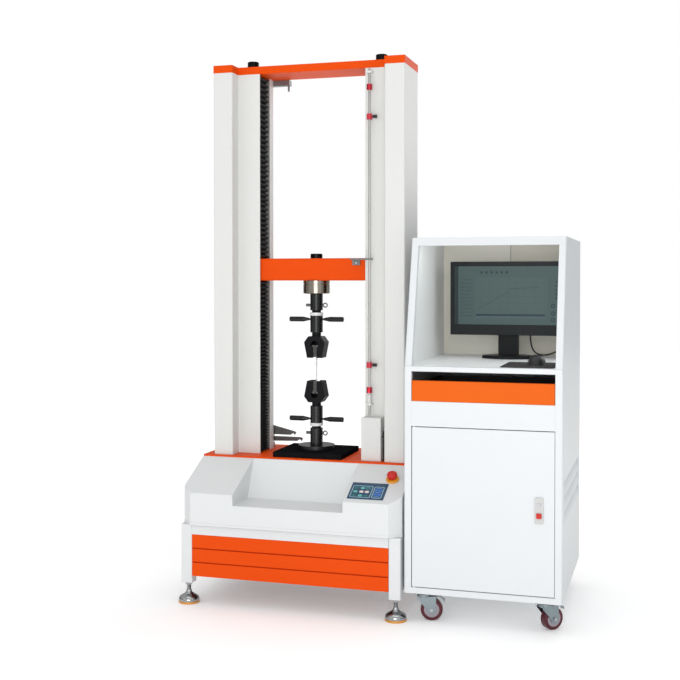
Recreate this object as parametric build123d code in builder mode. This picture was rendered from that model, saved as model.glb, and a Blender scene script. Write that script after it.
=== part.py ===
from build123d import *
import os
from math import atan2, cos, degrees, pi, radians, sin, tan

os.makedirs("parts", exist_ok=True)

# Driving dimensions in millimetres. The load frame stands left of its control cabinet.
# X runs to the right, Y to the back and Z up from the floor.

# The set of two units
base_width = 858
cabinet_width = 560
cabinet_depth = 720
unit_gap = 11
cabinet_setback = 30
load_setback = 362

# General clearances
fit_gap = 0.2
run_gap = 0.05
slide_gap = 0.4

# Base frame
console_overhang = 12
leg_size = 44
leg_bottom = 80
leg_pitch_y = 500
rail_height = 37
rail_top = 303
panel_sheet = 3
skirt_bottom = 107
skirt_thickness = 14
groove_depth = 4
louvre_length = 70
louvre_width = 6
louvre_pitch = 16
louvre_rows = 7

# Levelling feet
foot_diameter = 80
foot_ring_height = 9
bell_height = 40
bell_neck_radius = 13
stud_diameter = 16
jam_nut_size = 24
jam_nut_height = 12

# Console cover and its controls
console_front_height = 426
console_corner = 42
console_sheet = 3
console_fold = 2.5
slope_depth = 220
slope_top = 532
shoulder_width = 214
recess_floor = 386
recess_depth = 160
membrane_width = 137
membrane_length = 99
membrane_start = 22
membrane_inset = 135
membrane_thickness = 1.6
estop_inset = 59
estop_start = 150
estop_base_diameter = 48
estop_base_height = 8
estop_head_diameter = 38
estop_head_height = 15
estop_neck_diameter = 26
estop_rise = 8
estop_travel = 5

# Worktable and lower tooling plate
table_top = 538
table_thickness = 30
table_corner = 6
plate_width = 280
plate_depth = 250
plate_thickness = 20

# Columns
column_top = 2052
column_sheet = 3
column_margin = 39
column_width = 172
column_front_width = 80
column_bend = 3
column_outer_front = 123
column_inner_front = 59
column_rear = 100
slot_rear = 58
beam_thickness = 30
guide_inset = 122
guide_diameter = 45
guide_spigot = 30
guide_flange = 50
guide_flange_height = 14
cap_diameter = 46
cap_height = 30
screw_inset = 52
screw_diameter = 32
bearing_height = 30
bearing_diameter = 78

# Drive
pulley_diameter = 90
pulley_height = 30
pulley_drop = 8
belt_thickness = 4
belt_width = 26
motor_pulley_diameter = 60
motor_setback = -80
motor_size = 130
motor_length = 210
motor_plate = 12
motor_shaft = 24

# Crosshead, load cell and grips
crosshead_bottom = 1230
crosshead_height = 88
crosshead_depth = 96
crosshead_inset = 15
crosshead_chamfer = 4
bush_diameter = 60
ball_nut_diameter = 56
nut_flange_height = 12
cell_diameter = 105
cell_height = 52
cell_ring_depth = 2
groove_drop = 14
groove_width = 3
bolt_diameter = 24
bolt_head_diameter = 48
bolt_head_height = 19
flange_diameter = 146
flange_height = 18
adapter_diameter = 50
adapter_length = 66
stem_diameter = 30
stem_socket = 44
pin_drop = 46
pin_diameter = 12
pin_left = 43
pin_loop_diameter = 21
pin_loop_wire = 5
pin_loop_gap = 1
collar_length = 9
collar_diameter = 36
ring_height = 12
ring_diameter = 53
sleeve_end = 154
sleeve_diameter = 50
handle_drop = 102
handle_span = 225
handle_grip_diameter = 20
handle_grip_length = 57
handle_taper_length = 24
handle_taper_angle = 12
handle_rod_diameter = 8
body_start = 170
body_end = 255
body_neck_half = 26
body_shoulder_half = 43
body_mouth_half = 31
body_shoulder_drop = 23
body_depth = 58
keyhole_diameter = 30
keyhole_slot = 17
keyhole_drop = 32
pocket_wall = 10
pocket_floor = 17
wedge_angle = 12
jaw_length = 46
jaw_recess = 4
jaw_tip = 16
jaw_gap_half = 1.4

# Bellows over the column slots
pleat_pitch = 23
pleat_depth = 18
bellows_sheet = 1.6
bellows_inset = 4
bellows_clearance = 2

# Crosshead limit rod on the right column
rod_inset = 21
rod_forward = 77
rod_diameter = 8
rod_lead = 10
rod_tail = 36
collar_size = 21
stop_height = 22
upper_stop_drop = 53
lower_stop_gap = 6
upper_collar_drop = 114
lower_collar_rise = 97
knob_diameter = 13
knob_length = 16
bracket_thickness = 8
bracket_width = 24
upper_bracket_drop = 24
lower_bracket = 748
guide_sleeve_length = 34
switch_overhang = 1
switch_width = 77
switch_depth = 55
switch_height = 166
striker_inset = 54
striker_width = 31
striker_height = 26
striker_top_gap = 2
striker_plate = 6
striker_arm_height = 6
striker_arm_width = 16
plug_size = 12
plug_drop = 24
plug_rise = 112
cable_diameter = 6
grommet_diameter = 14
grommet_height = 6
cord_round = 0.45

# Long travel extensometer behind the left column
mast_inset = 27
mast_behind = 118
mast_diameter = 18
mast_bar = 22
mast_reach = 96
arm_rises = (42, 66)
arm_lengths = (148, 119)
arm_tops = (4, 30)
arm_bellies = (16, 12)
arm_thickness = 8
arm_edge = 12
carrier_size = 34
carrier_height = 18

# Control cabinet
cabinet_bottom = 105
cabinet_top = 1388
cabinet_knee = 915
cabinet_lean = 124
cabinet_sheet = 2
vent_low = 364
vent_pitch = 53
vent_count = 3
vent_front = 65
vent_rear = 60
vent_depth = 6
post_width = 25
post_depth = 20
bottom_rail = 22
door_top = 708
door_gap = 3
door_pivot = 6
door_pin_diameter = 8
panel_top = 798
drawer_top = 872
drawer_front_thickness = 18
shelf_bottom = 905
shelf_top = 923
top_rail = 30
back_panel = 20
drawer_tray_half = 235
drawer_tray_depth = 400
drawer_wall = 4
drawer_wall_height = 40
runner_height = 12
runner_rise = 8
lock_plate_width = 30
lock_plate_height = 92
lock_plate_thickness = 5
lock_edge = 38
lock_height = 430
lock_button_size = 18
lock_button_corner = 3
lock_button_lift = 28
lock_button_rise = 5
lock_travel = 3
caster_inset_x = 62
caster_inset_y = 48
caster_plate = 6
caster_plate_size = 66
caster_trail = 28
wheel_diameter = 80
wheel_width = 28
fork_sheet = 3
fork_race_diameter = 50
fork_lead = 24
fork_boss_diameter = 32
pedal_reach = 48
pedal_width = 18
pedal_drop = 18
axle_diameter = 10
caster_headings = (10, 44, 170, 200)

# Monitor in the upper bay
monitor_width = 446
monitor_height = 290
monitor_depth = 26
monitor_bottom = 1015
monitor_offset = 295
monitor_setback = 486
monitor_back_width = 230
monitor_back_height = 170
monitor_back_depth = 22
stand_width = 200
stand_depth = 150
stand_base = 12
stand_neck_width = 80
stand_neck_depth = 18
hinge_diameter = 16
hinge_gap = 6
lead_diameter = 6
gland_diameter = 16
gland_length = 12
lead_offset = 370
gland_rise = 110
gland_lift = 45

# Places worked out from the driving dimensions
foot_reach = (foot_diameter - leg_size) / 2
foot_lead = max(0, foot_reach - console_overhang)
set_width = foot_reach + base_width + unit_gap + cabinet_width
set_depth = foot_lead + cabinet_setback + cabinet_depth
load_x = foot_reach + (base_width - set_width) / 2
front_y = foot_lead - set_depth / 2
load_y = front_y + load_setback
half_base = base_width / 2
column_half = half_base - column_margin
column_step_half = column_half - column_front_width
column_inner_half = column_half - column_width
guide_offset = column_half - guide_inset
screw_offset = column_half - screw_inset
crosshead_half = column_half - crosshead_inset
recess_half = half_base - shoulder_width
leg_front = front_y + console_overhang
leg_pitch_x = base_width - leg_size
base_mid_y = leg_front + leg_size / 2 + leg_pitch_y / 2
base_rear = leg_front + leg_pitch_y + leg_size
rail_bottom = rail_top - rail_height
table_bottom = table_top - table_thickness
table_front = front_y + slope_depth
slope_angle = degrees(atan2(slope_top - console_front_height, slope_depth))
beam_top = column_top + beam_thickness
crosshead_top = crosshead_bottom + crosshead_height
cell_bottom = crosshead_bottom - cell_height
plate_top = table_top + plate_thickness
post_base = plate_top + flange_height
cabinet_left = set_width / 2 - cabinet_width
cabinet_right = set_width / 2
cabinet_mid = cabinet_right - cabinet_width / 2
cabinet_front = front_y + cabinet_setback
cabinet_rear = cabinet_front + cabinet_depth


# Adds or cuts a block that spans the three given pairs of coordinates.
def slab(x_span, y_span, z_span, mode=Mode.ADD):
    centre = [(low + high) / 2 for low, high in (x_span, y_span, z_span)]
    size = [high - low for low, high in (x_span, y_span, z_span)]
    with Locations(tuple(centre)):
        Box(*size, mode=mode)


# Base frame: legs, rails and the posts that carry the worktable, welded at their ends
inner_half = half_base - leg_size
leg_inner_front = leg_front + leg_size
leg_inner_rear = base_rear - leg_size
post_x = half_base - panel_sheet - leg_size
with BuildPart() as base_frame:
    with BuildSketch(Plane((load_x, base_mid_y, leg_bottom))):
        with GridLocations(leg_pitch_x, leg_pitch_y, 2, 2):
            RectangleRounded(leg_size, leg_size, groove_depth)
    extrude(amount=rail_top - leg_bottom)
    rail_span = (load_x - inner_half + fit_gap, load_x + inner_half - fit_gap)
    side_span = (leg_inner_front + fit_gap, leg_inner_rear - fit_gap)
    for height in (skirt_bottom, rail_bottom):
        rail_z = (height, height + rail_height)
        slab(rail_span, (leg_inner_rear, base_rear - panel_sheet - fit_gap), rail_z)
        for side in (-1, 1):
            edges = sorted((load_x + side * inner_half, load_x + side * post_x + side * leg_size))
            slab(edges, side_span, rail_z)
    slab(rail_span, (leg_front, leg_inner_front), (rail_bottom, rail_top))
    for side in (-1, 1):
        edges = sorted((load_x + side * post_x, load_x + side * (post_x + leg_size)))
        post_z = (rail_top + fit_gap, table_bottom)
        slab(edges, (table_front + panel_sheet, table_front + panel_sheet + leg_size), post_z)
        slab(edges, (base_rear - panel_sheet - fit_gap - leg_size, base_rear - panel_sheet - fit_gap), post_z)
base_frame.part.label = "base_frame"
export_step(base_frame.part, "parts/base_frame.step")

# Levelling feet: bell shaped pads on studs, locked under the legs by jam nuts
foot_radius = foot_diameter / 2
bell_top = foot_ring_height + bell_height
with BuildPart() as foot:
    with BuildSketch(Plane.XZ):
        with BuildLine():
            Polyline((0, 0), (foot_radius, 0), (foot_radius, foot_ring_height))
            Line((foot_radius, foot_ring_height), (foot_radius - groove_depth, foot_ring_height))
            ThreePointArc(
                (foot_radius - groove_depth, foot_ring_height),
                (foot_radius / 2 + groove_depth, foot_ring_height + bell_height * 0.45),
                (bell_neck_radius, bell_top),
            )
            Polyline((bell_neck_radius, bell_top), (0, bell_top), (0, 0))
        make_face()
    revolve(axis=Axis.Z)
    with BuildSketch(Plane.XY.offset(bell_top)):
        Circle(stud_diameter / 2)
    extrude(amount=leg_bottom - bell_top)
    with BuildSketch(Plane.XY.offset(leg_bottom - jam_nut_height)):
        RegularPolygon(jam_nut_size / 2, 6, major_radius=False)
    extrude(amount=jam_nut_height)
with BuildPart() as levelling_feet:
    with Locations((load_x, base_mid_y, 0)):
        with GridLocations(leg_pitch_x, leg_pitch_y, 2, 2):
            add(foot.part)
levelling_feet.part.label = "levelling_feet"
export_step(levelling_feet.part, "parts/levelling_feet.step")

# Front skirt: folded sheet tray with two pressed grooves
skirt_height = rail_bottom - skirt_bottom
skirt_front = leg_front + fit_gap
with BuildPart() as skirt_panel:
    with BuildSketch(Plane.YZ.offset(load_x)):
        with Locations((skirt_front + skirt_thickness / 2, skirt_bottom + skirt_height / 2)):
            Rectangle(skirt_thickness, skirt_height - 2 * fit_gap)
            with GridLocations(0, skirt_height / 3, 1, 2):
                with Locations((-skirt_thickness / 2, 0)):
                    Rectangle(groove_depth, groove_depth, rotation=45, mode=Mode.SUBTRACT)
    extrude(amount=inner_half - fit_gap, both=True)
skirt_panel.part.label = "skirt_panel"
export_step(skirt_panel.part, "parts/skirt_panel.step")

# Side and rear sheets of the base, the rear one louvred for the drive
with BuildPart() as base_panels:
    lower_z = (skirt_bottom, rail_top)
    upper_z = (rail_top + fit_gap, table_bottom - fit_gap)
    for side in (-1, 1):
        edges = sorted((load_x + side * (half_base - panel_sheet + fit_gap), load_x + side * half_base))
        slab(edges, (leg_inner_front + fit_gap, leg_inner_rear - fit_gap), lower_z)
        slab(edges, (table_front + fit_gap, base_rear), upper_z)
    rear_y = (base_rear - panel_sheet, base_rear)
    slab((load_x - inner_half + fit_gap, load_x + inner_half - fit_gap), rear_y, lower_z)
    rear_half = half_base - panel_sheet
    slab((load_x - rear_half, load_x + rear_half), rear_y, upper_z)
    louvre_mid = (skirt_bottom + rail_top) / 2
    with BuildSketch(Plane.XZ.offset(-base_rear)):
        with Locations((load_x, louvre_mid)):
            with GridLocations(inner_half, louvre_pitch, 2, louvre_rows):
                SlotOverall(louvre_length, louvre_width)
    extrude(amount=panel_sheet, mode=Mode.SUBTRACT)
base_panels.part.label = "base_panels"
export_step(base_panels.part, "parts/base_panels.step")

# Console cover: bent sheet with a sloped top, cut corners and a tool recess in the middle.
# The same side profiles, drawn again one sheet further in, give the hollow under it.
slope_rise = tan(radians(slope_angle))


def console_profile(inset):
    front = front_y + inset
    face_top = console_front_height + inset * slope_rise - inset / cos(radians(slope_angle))
    back = front_y + slope_depth
    with BuildSketch(Plane.YZ.offset(load_x)) as profile:
        with BuildLine():
            Polyline(
                (front, rail_top),
                (front, face_top),
                (back, face_top + (back - front) * slope_rise),
                (back, rail_top),
                close=True,
            )
        make_face()
    return profile.sketch


def recess_profile(inset):
    back = front_y + slope_depth
    above = slope_top + recess_depth
    with BuildSketch(Plane.YZ.offset(load_x)) as profile:
        with BuildLine():
            Polyline(
                (front_y, recess_floor - inset),
                (front_y + recess_depth + inset, recess_floor - inset),
                (back + inset, slope_top - inset),
                (back + inset, above),
                (front_y, above),
                close=True,
            )
        make_face()
    return profile.sketch


with BuildPart() as console_inside:
    extrude(console_profile(console_sheet), amount=half_base - console_sheet, both=True)
    extrude(recess_profile(console_sheet), amount=recess_half + console_sheet, both=True, mode=Mode.SUBTRACT)
    inner_corners = console_inside.edges().filter_by(Axis.Z).group_by(Axis.Y)[0].sort_by(Axis.X)
    chamfer([inner_corners[0], inner_corners[-1]], console_corner)
with BuildPart() as console_cover:
    extrude(console_profile(0), amount=half_base, both=True)
    extrude(recess_profile(0), amount=recess_half, both=True, mode=Mode.SUBTRACT)
    outer_corners = console_cover.edges().filter_by(Axis.Z).group_by(Axis.Y)[0].sort_by(Axis.X)
    chamfer([outer_corners[0], outer_corners[-1]], console_corner)
    back_edges = console_cover.edges().group_by(Axis.Y)[-1]
    foot_edges = console_cover.edges().group_by(Axis.Z)[0]
    folds = [edge for edge in console_cover.edges() if edge not in back_edges + foot_edges]
    fillet(folds, console_fold)
    add(console_inside.part, mode=Mode.SUBTRACT)
console_cover.part.label = "console_cover"
export_step(console_cover.part, "parts/console_cover.step")

# Sloped plane of the console's shoulders: X along the machine, Y up the slope from the front edge
slope_normal = (0, -sin(radians(slope_angle)), cos(radians(slope_angle)))
slope_plane = Plane((load_x, front_y, console_front_height), x_dir=(1, 0, 0), z_dir=slope_normal)

# Membrane keypad stuck on the right shoulder
with BuildPart() as control_panel:
    with BuildSketch(slope_plane):
        with Locations((half_base - membrane_inset, membrane_start + membrane_length / 2)):
            RectangleRounded(membrane_width, membrane_length, groove_depth)
    extrude(amount=membrane_thickness)
control_panel.part.label = "control_panel"
export_step(control_panel.part, "parts/control_panel.step")

# Emergency stop: bezel with a neck bore, and the mushroom button that is pushed into it
estop_spot = slope_plane.from_local_coords((half_base - estop_inset, estop_start, 0))
estop_frame = slope_plane.shift_origin(estop_spot)
neck_radius = estop_neck_diameter / 2
with BuildPart() as estop_base:
    with BuildSketch(estop_frame):
        Circle(estop_base_diameter / 2)
        Circle(neck_radius + slide_gap, mode=Mode.SUBTRACT)
    extrude(amount=estop_base_height)
    chamfer(estop_base.edges().group_by(Axis.Z)[-1].sort_by(SortBy.LENGTH)[-1], membrane_thickness)
estop_base.part.label = "estop_base"
export_step(estop_base.part, "parts/estop_base.step")

head_low = estop_base_height + estop_rise
neck_low = estop_travel + fit_gap
with BuildPart() as estop_button:
    with BuildSketch(estop_frame.offset(head_low)):
        Circle(estop_head_diameter / 2)
    extrude(amount=estop_head_height)
    fillet(estop_button.edges().group_by(Axis.Z)[-1], estop_head_height / 2)
    with BuildSketch(estop_frame.offset(neck_low)):
        Circle(neck_radius)
    extrude(amount=head_low - neck_low)
estop_button.part.label = "estop_button"
export_step(estop_button.part, "parts/estop_button.step")

# Worktable: steel plate with bores for the two screws
with BuildPart() as worktable:
    with BuildSketch(Plane((load_x, (table_front + base_rear) / 2, table_bottom))):
        RectangleRounded(base_width, base_rear - table_front - fit_gap, table_corner)
    extrude(amount=table_thickness)
    with Locations((load_x, load_y, table_top)):
        with GridLocations(2 * screw_offset, 0, 2, 1):
            Hole(screw_diameter / 2 + groove_depth, table_thickness)
worktable.part.label = "worktable"
export_step(worktable.part, "parts/worktable.step")

# Lower tooling plate on the load axis
with BuildPart() as table_plate:
    with BuildSketch(Plane((load_x, load_y, table_top))):
        Rectangle(plate_width, plate_depth)
    extrude(amount=plate_thickness)
    chamfer(table_plate.faces().sort_by(Axis.Z)[-1].edges(), membrane_thickness)
table_plate.part.label = "table_plate"
export_step(table_plate.part, "parts/table_plate.step")


# Plan outline of one column sheet, open to the inside, for the side -1 or 1
def column_profile(side):
    outer = side * column_half
    step = side * column_step_half
    inner = side * column_inner_half
    sheet_x = side * column_sheet
    with BuildSketch(Plane((load_x, load_y, table_top))) as profile:
        with BuildLine():
            Polyline(
                (inner, -column_inner_front),
                (step, -column_inner_front),
                (step, -column_outer_front),
                (outer, -column_outer_front),
                (outer, column_rear),
                (inner, column_rear),
                (inner, slot_rear),
                (inner + sheet_x, slot_rear),
                (inner + sheet_x, column_rear - column_sheet),
                (outer - sheet_x, column_rear - column_sheet),
                (outer - sheet_x, column_sheet - column_outer_front),
                (step + sheet_x, column_sheet - column_outer_front),
                (step + sheet_x, column_sheet - column_inner_front),
                (inner, column_sheet - column_inner_front),
                close=True,
            )
        make_face()
        rear_in = column_rear - column_sheet
        front_in = column_sheet - column_outer_front
        tight = [
            (outer - sheet_x, rear_in),
            (inner + sheet_x, rear_in),
            (outer - sheet_x, front_in),
            (step + sheet_x, front_in),
            (step, -column_inner_front),
        ]
        wide = [
            (outer, column_rear),
            (inner, column_rear),
            (outer, -column_outer_front),
            (step, -column_outer_front),
            (step + sheet_x, column_sheet - column_inner_front),
        ]
        for corners, radius in ((tight, column_bend), (wide, column_bend + column_sheet)):
            for corner in corners:
                fillet(vertices().sort_by_distance((*corner, 0))[0], radius)
    return profile.sketch


# Column covers: one folded sheet each side, stepped in front and slotted on the inside
for side, side_name in ((-1, "left"), (1, "right")):
    with BuildPart() as column_cover:
        extrude(column_profile(side), amount=column_top - table_top)
    column_cover.part.label = f"column_cover_{side_name}"
    export_step(column_cover.part, f"parts/column_cover_{side_name}.step")

# Top beam: plate with the columns' own outline, bored for the guide spigots
with BuildPart() as top_beam:
    with BuildSketch(Plane((load_x, load_y, column_top))):
        with BuildLine():
            Polyline(
                (-column_half, -column_outer_front),
                (-column_step_half, -column_outer_front),
                (-column_step_half, -column_inner_front),
                (column_step_half, -column_inner_front),
                (column_step_half, -column_outer_front),
                (column_half, -column_outer_front),
                (column_half, column_rear),
                (-column_half, column_rear),
                close=True,
            )
        make_face()
    extrude(amount=beam_thickness)
    with Locations((load_x, load_y, beam_top)):
        with GridLocations(2 * guide_offset, 0, 2, 1):
            Hole(guide_spigot / 2 + fit_gap, beam_thickness)
top_beam.part.label = "top_beam"
export_step(top_beam.part, "parts/top_beam.step")

# Guide columns: ground bars with a foot flange, a spigot through the beam and a cap nut on top
guide_radius = guide_diameter / 2
spigot_radius = guide_spigot / 2
with BuildPart() as guide:
    with BuildSketch(Plane.XZ):
        with BuildLine():
            Polyline(
                (0, table_top),
                (guide_flange / 2, table_top),
                (guide_flange / 2, table_top + guide_flange_height),
                (guide_radius, table_top + guide_flange_height),
                (guide_radius, column_top),
                (spigot_radius, column_top),
                (spigot_radius, beam_top + cap_height / 2),
                (0, beam_top + cap_height / 2),
                close=True,
            )
        make_face()
    revolve(axis=Axis.Z)
with BuildPart() as cap_nut:
    with BuildSketch(Plane.XY.offset(beam_top)):
        Circle(cap_diameter / 2)
    extrude(amount=cap_height)
    fillet(cap_nut.faces().sort_by(Axis.Z)[-1].edges(), groove_depth)
    with BuildSketch(Plane.XY.offset(beam_top)):
        Circle(spigot_radius + fit_gap)
    extrude(amount=cap_height / 2 + fit_gap, mode=Mode.SUBTRACT)
with BuildPart() as guide_columns:
    with Locations((load_x, load_y, 0)):
        with GridLocations(2 * guide_offset, 0, 2, 1):
            add(guide.part)
            add(cap_nut.part)
guide_columns.part.label = "guide_columns"
export_step(guide_columns.part, "parts/guide_columns.step")

# Screw bearings: housings under the worktable and under the top beam
with BuildPart() as screw_bearings:
    for height in (table_bottom - bearing_height, column_top - bearing_height):
        with BuildSketch(Plane((load_x, load_y, height))):
            with GridLocations(2 * screw_offset, 0, 2, 1):
                Circle(bearing_diameter / 2)
                Circle(screw_diameter / 2 + run_gap, mode=Mode.SUBTRACT)
        extrude(amount=bearing_height)
screw_bearings.part.label = "screw_bearings"
export_step(screw_bearings.part, "parts/screw_bearings.step")

# Ball screws: each with its belt pulley clamped on under the lower bearing
pulley_top = table_bottom - bearing_height - fit_gap
pulley_bottom = pulley_top - pulley_height
screw_end = column_top - fit_gap
screw_low = pulley_bottom - pulley_drop
for side, side_name in ((-1, "left"), (1, "right")):
    with BuildPart() as ball_screw:
        with BuildSketch(Plane((load_x + side * screw_offset, load_y, screw_low))):
            Circle(screw_diameter / 2)
        extrude(amount=screw_end - screw_low)
        with BuildSketch(Plane((load_x + side * screw_offset, load_y, pulley_bottom))):
            Circle(pulley_diameter / 2)
        extrude(amount=pulley_height)
    ball_screw.part.label = f"ball_screw_{side_name}"
    export_step(ball_screw.part, f"parts/ball_screw_{side_name}.step")

# Servo motor hung from the worktable on a plate and four spacers
motor_y = load_y + motor_setback
motor_plate_top = pulley_bottom - pulley_drop
motor_plate_low = motor_plate_top - motor_plate
shaft_radius = motor_shaft / 2
spacer_pitch = motor_size - stud_diameter
with BuildPart() as servo_motor:
    with BuildSketch(Plane((load_x, motor_y, motor_plate_low - motor_length))):
        RectangleRounded(motor_size, motor_size, stud_diameter)
    extrude(amount=motor_length)
    with BuildSketch(Plane((load_x, motor_y, motor_plate_low))):
        Rectangle(motor_size, motor_size)
    extrude(amount=motor_plate)
    with BuildSketch(Plane((load_x, motor_y, motor_plate_top))):
        with GridLocations(spacer_pitch, spacer_pitch, 2, 2):
            Circle(stud_diameter / 2)
    extrude(amount=table_bottom - motor_plate_top)
    with Locations((load_x, motor_y, motor_plate_top)):
        Hole(shaft_radius + run_gap, motor_plate + groove_depth)
servo_motor.part.label = "servo_motor"
export_step(servo_motor.part, "parts/servo_motor.step")

with BuildPart() as motor_pulley:
    with BuildSketch(Plane((load_x, motor_y, pulley_bottom))):
        Circle(motor_pulley_diameter / 2)
    extrude(amount=pulley_height)
    with BuildSketch(Plane((load_x, motor_y, motor_plate_low))):
        Circle(shaft_radius)
    extrude(amount=pulley_bottom - motor_plate_low)
motor_pulley.part.label = "motor_pulley"
export_step(motor_pulley.part, "parts/motor_pulley.step")

# Toothed belt round the motor pulley and both screw pulleys
belt_low = pulley_bottom + (pulley_height - belt_width) / 2
with BuildPart() as drive_belt:
    for grow, mode in ((belt_thickness, Mode.ADD), (0, Mode.SUBTRACT)):
        with BuildSketch(Plane((load_x, load_y, belt_low))):
            with BuildLine():
                for side in (-1, 1):
                    CenterArc((side * screw_offset, 0), pulley_diameter / 2 + fit_gap + grow, 0, 360)
                CenterArc((0, motor_setback), motor_pulley_diameter / 2 + fit_gap + grow, 0, 360)
            make_hull()
        extrude(amount=belt_width, mode=mode)
drive_belt.part.label = "drive_belt"
export_step(drive_belt.part, "parts/drive_belt.step")

# Crosshead beam: bored for the guide bushes, the ball nuts and the load cell bolt
crosshead_mid = crosshead_bottom + crosshead_height / 2
with BuildPart() as crosshead_beam:
    with BuildSketch(Plane.YZ.offset(load_x)):
        with Locations((load_y, crosshead_mid)):
            Rectangle(crosshead_depth, crosshead_height)
        chamfer(vertices(), crosshead_chamfer)
    extrude(amount=crosshead_half, both=True)
    with Locations((load_x, load_y, crosshead_top)):
        Hole(bolt_diameter / 2 + fit_gap, crosshead_height)
        with GridLocations(2 * guide_offset, 0, 2, 1):
            Hole(bush_diameter / 2 + fit_gap, crosshead_height)
        with GridLocations(2 * screw_offset, 0, 2, 1):
            Hole(ball_nut_diameter / 2 + fit_gap, crosshead_height)
crosshead_beam.part.label = "crosshead_beam"
export_step(crosshead_beam.part, "parts/crosshead_beam.step")

# Guide bushes and flanged ball nuts, screwed to the beam's underside
nut_flange = 2 * (screw_offset - guide_offset) - bush_diameter - groove_depth
with BuildPart() as crosshead_nuts:
    for offset_x, outer, inner in (
        (guide_offset, bush_diameter, guide_diameter),
        (screw_offset, ball_nut_diameter, screw_diameter),
    ):
        with BuildSketch(Plane((load_x, load_y, crosshead_bottom))):
            with GridLocations(2 * offset_x, 0, 2, 1):
                Circle(outer / 2)
                Circle(inner / 2 + run_gap, mode=Mode.SUBTRACT)
        extrude(amount=crosshead_height)
    with BuildSketch(Plane((load_x, load_y, crosshead_bottom))):
        with GridLocations(2 * screw_offset, 0, 2, 1):
            Circle(nut_flange / 2)
            Circle(screw_diameter / 2 + run_gap, mode=Mode.SUBTRACT)
    extrude(amount=-nut_flange_height)
crosshead_nuts.part.label = "crosshead_nuts"
export_step(crosshead_nuts.part, "parts/crosshead_nuts.step")

# Load cell under the beam, with a turned ring groove, and the bolt that hangs it
cell_radius = cell_diameter / 2
with BuildPart() as load_cell:
    with BuildSketch(Plane.XZ.offset(-load_y)):
        with Locations((load_x + cell_radius / 2, cell_bottom + cell_height / 2)):
            Rectangle(cell_radius, cell_height)
        with Locations((load_x + cell_radius, crosshead_bottom - groove_drop)):
            Rectangle(2 * cell_ring_depth, groove_width, mode=Mode.SUBTRACT)
    revolve(axis=Axis((load_x, load_y, 0), (0, 0, 1)))
    chamfer(load_cell.edges().group_by(Axis.Z)[0], cell_ring_depth)
    with BuildSketch(Plane((load_x, load_y, crosshead_bottom))):
        Circle(bolt_diameter / 2)
    extrude(amount=crosshead_height)
    with BuildSketch(Plane((load_x, load_y, crosshead_top))):
        Circle(bolt_head_diameter / 2)
    extrude(amount=bolt_head_height)
    chamfer(load_cell.edges().group_by(Axis.Z)[-1], cell_ring_depth)
load_cell.part.label = "load_cell"
export_step(load_cell.part, "parts/load_cell.step")


# Wedge grip. Every piece is drawn on the plane where the grip is fixed, with Z towards its mouth.
upper_base = Plane((load_x, load_y, cell_bottom), x_dir=(1, 0, 0), z_dir=(0, 0, -1))
lower_base = Plane((load_x, load_y, post_base), x_dir=(1, 0, 0), z_dir=(0, 0, 1))
adapter_radius = adapter_diameter / 2
stem_radius = stem_diameter / 2
jaw_end = body_end - jaw_recess
jaw_start = jaw_end - jaw_length
wedge_slope = tan(radians(wedge_angle))
pocket_half = body_depth / 2 - pocket_wall
pocket_start = body_start + pocket_floor


# Plane across the grip at the given drop, facing along its X
def cross_plane(base, drop):
    return Plane(base.from_local_coords((0, 0, drop)), x_dir=base.y_dir, z_dir=base.x_dir)


# Plane through the grip's axis, facing its front
def face_plane(base):
    return Plane(base.origin, x_dir=base.x_dir, z_dir=base.y_dir * -1)


# Socketed adapter that takes the grip's stem and the lock pin
def grip_adapter(base, flange):
    with BuildPart() as adapter:
        with BuildSketch(base):
            Circle(adapter_radius)
        extrude(amount=adapter_length)
        if flange:
            with BuildSketch(base):
                Circle(flange_diameter / 2)
            extrude(amount=-flange_height)
            chamfer(adapter.edges().group_by(Axis.Z)[0], cell_ring_depth)
        with BuildSketch(base.offset(adapter_length)):
            Circle(stem_radius + fit_gap)
        extrude(amount=-stem_socket, mode=Mode.SUBTRACT)
        with BuildSketch(cross_plane(base, pin_drop)):
            Circle(pin_diameter / 2 + fit_gap)
        extrude(amount=adapter_diameter, both=True, mode=Mode.SUBTRACT)
    return adapter.part


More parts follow.
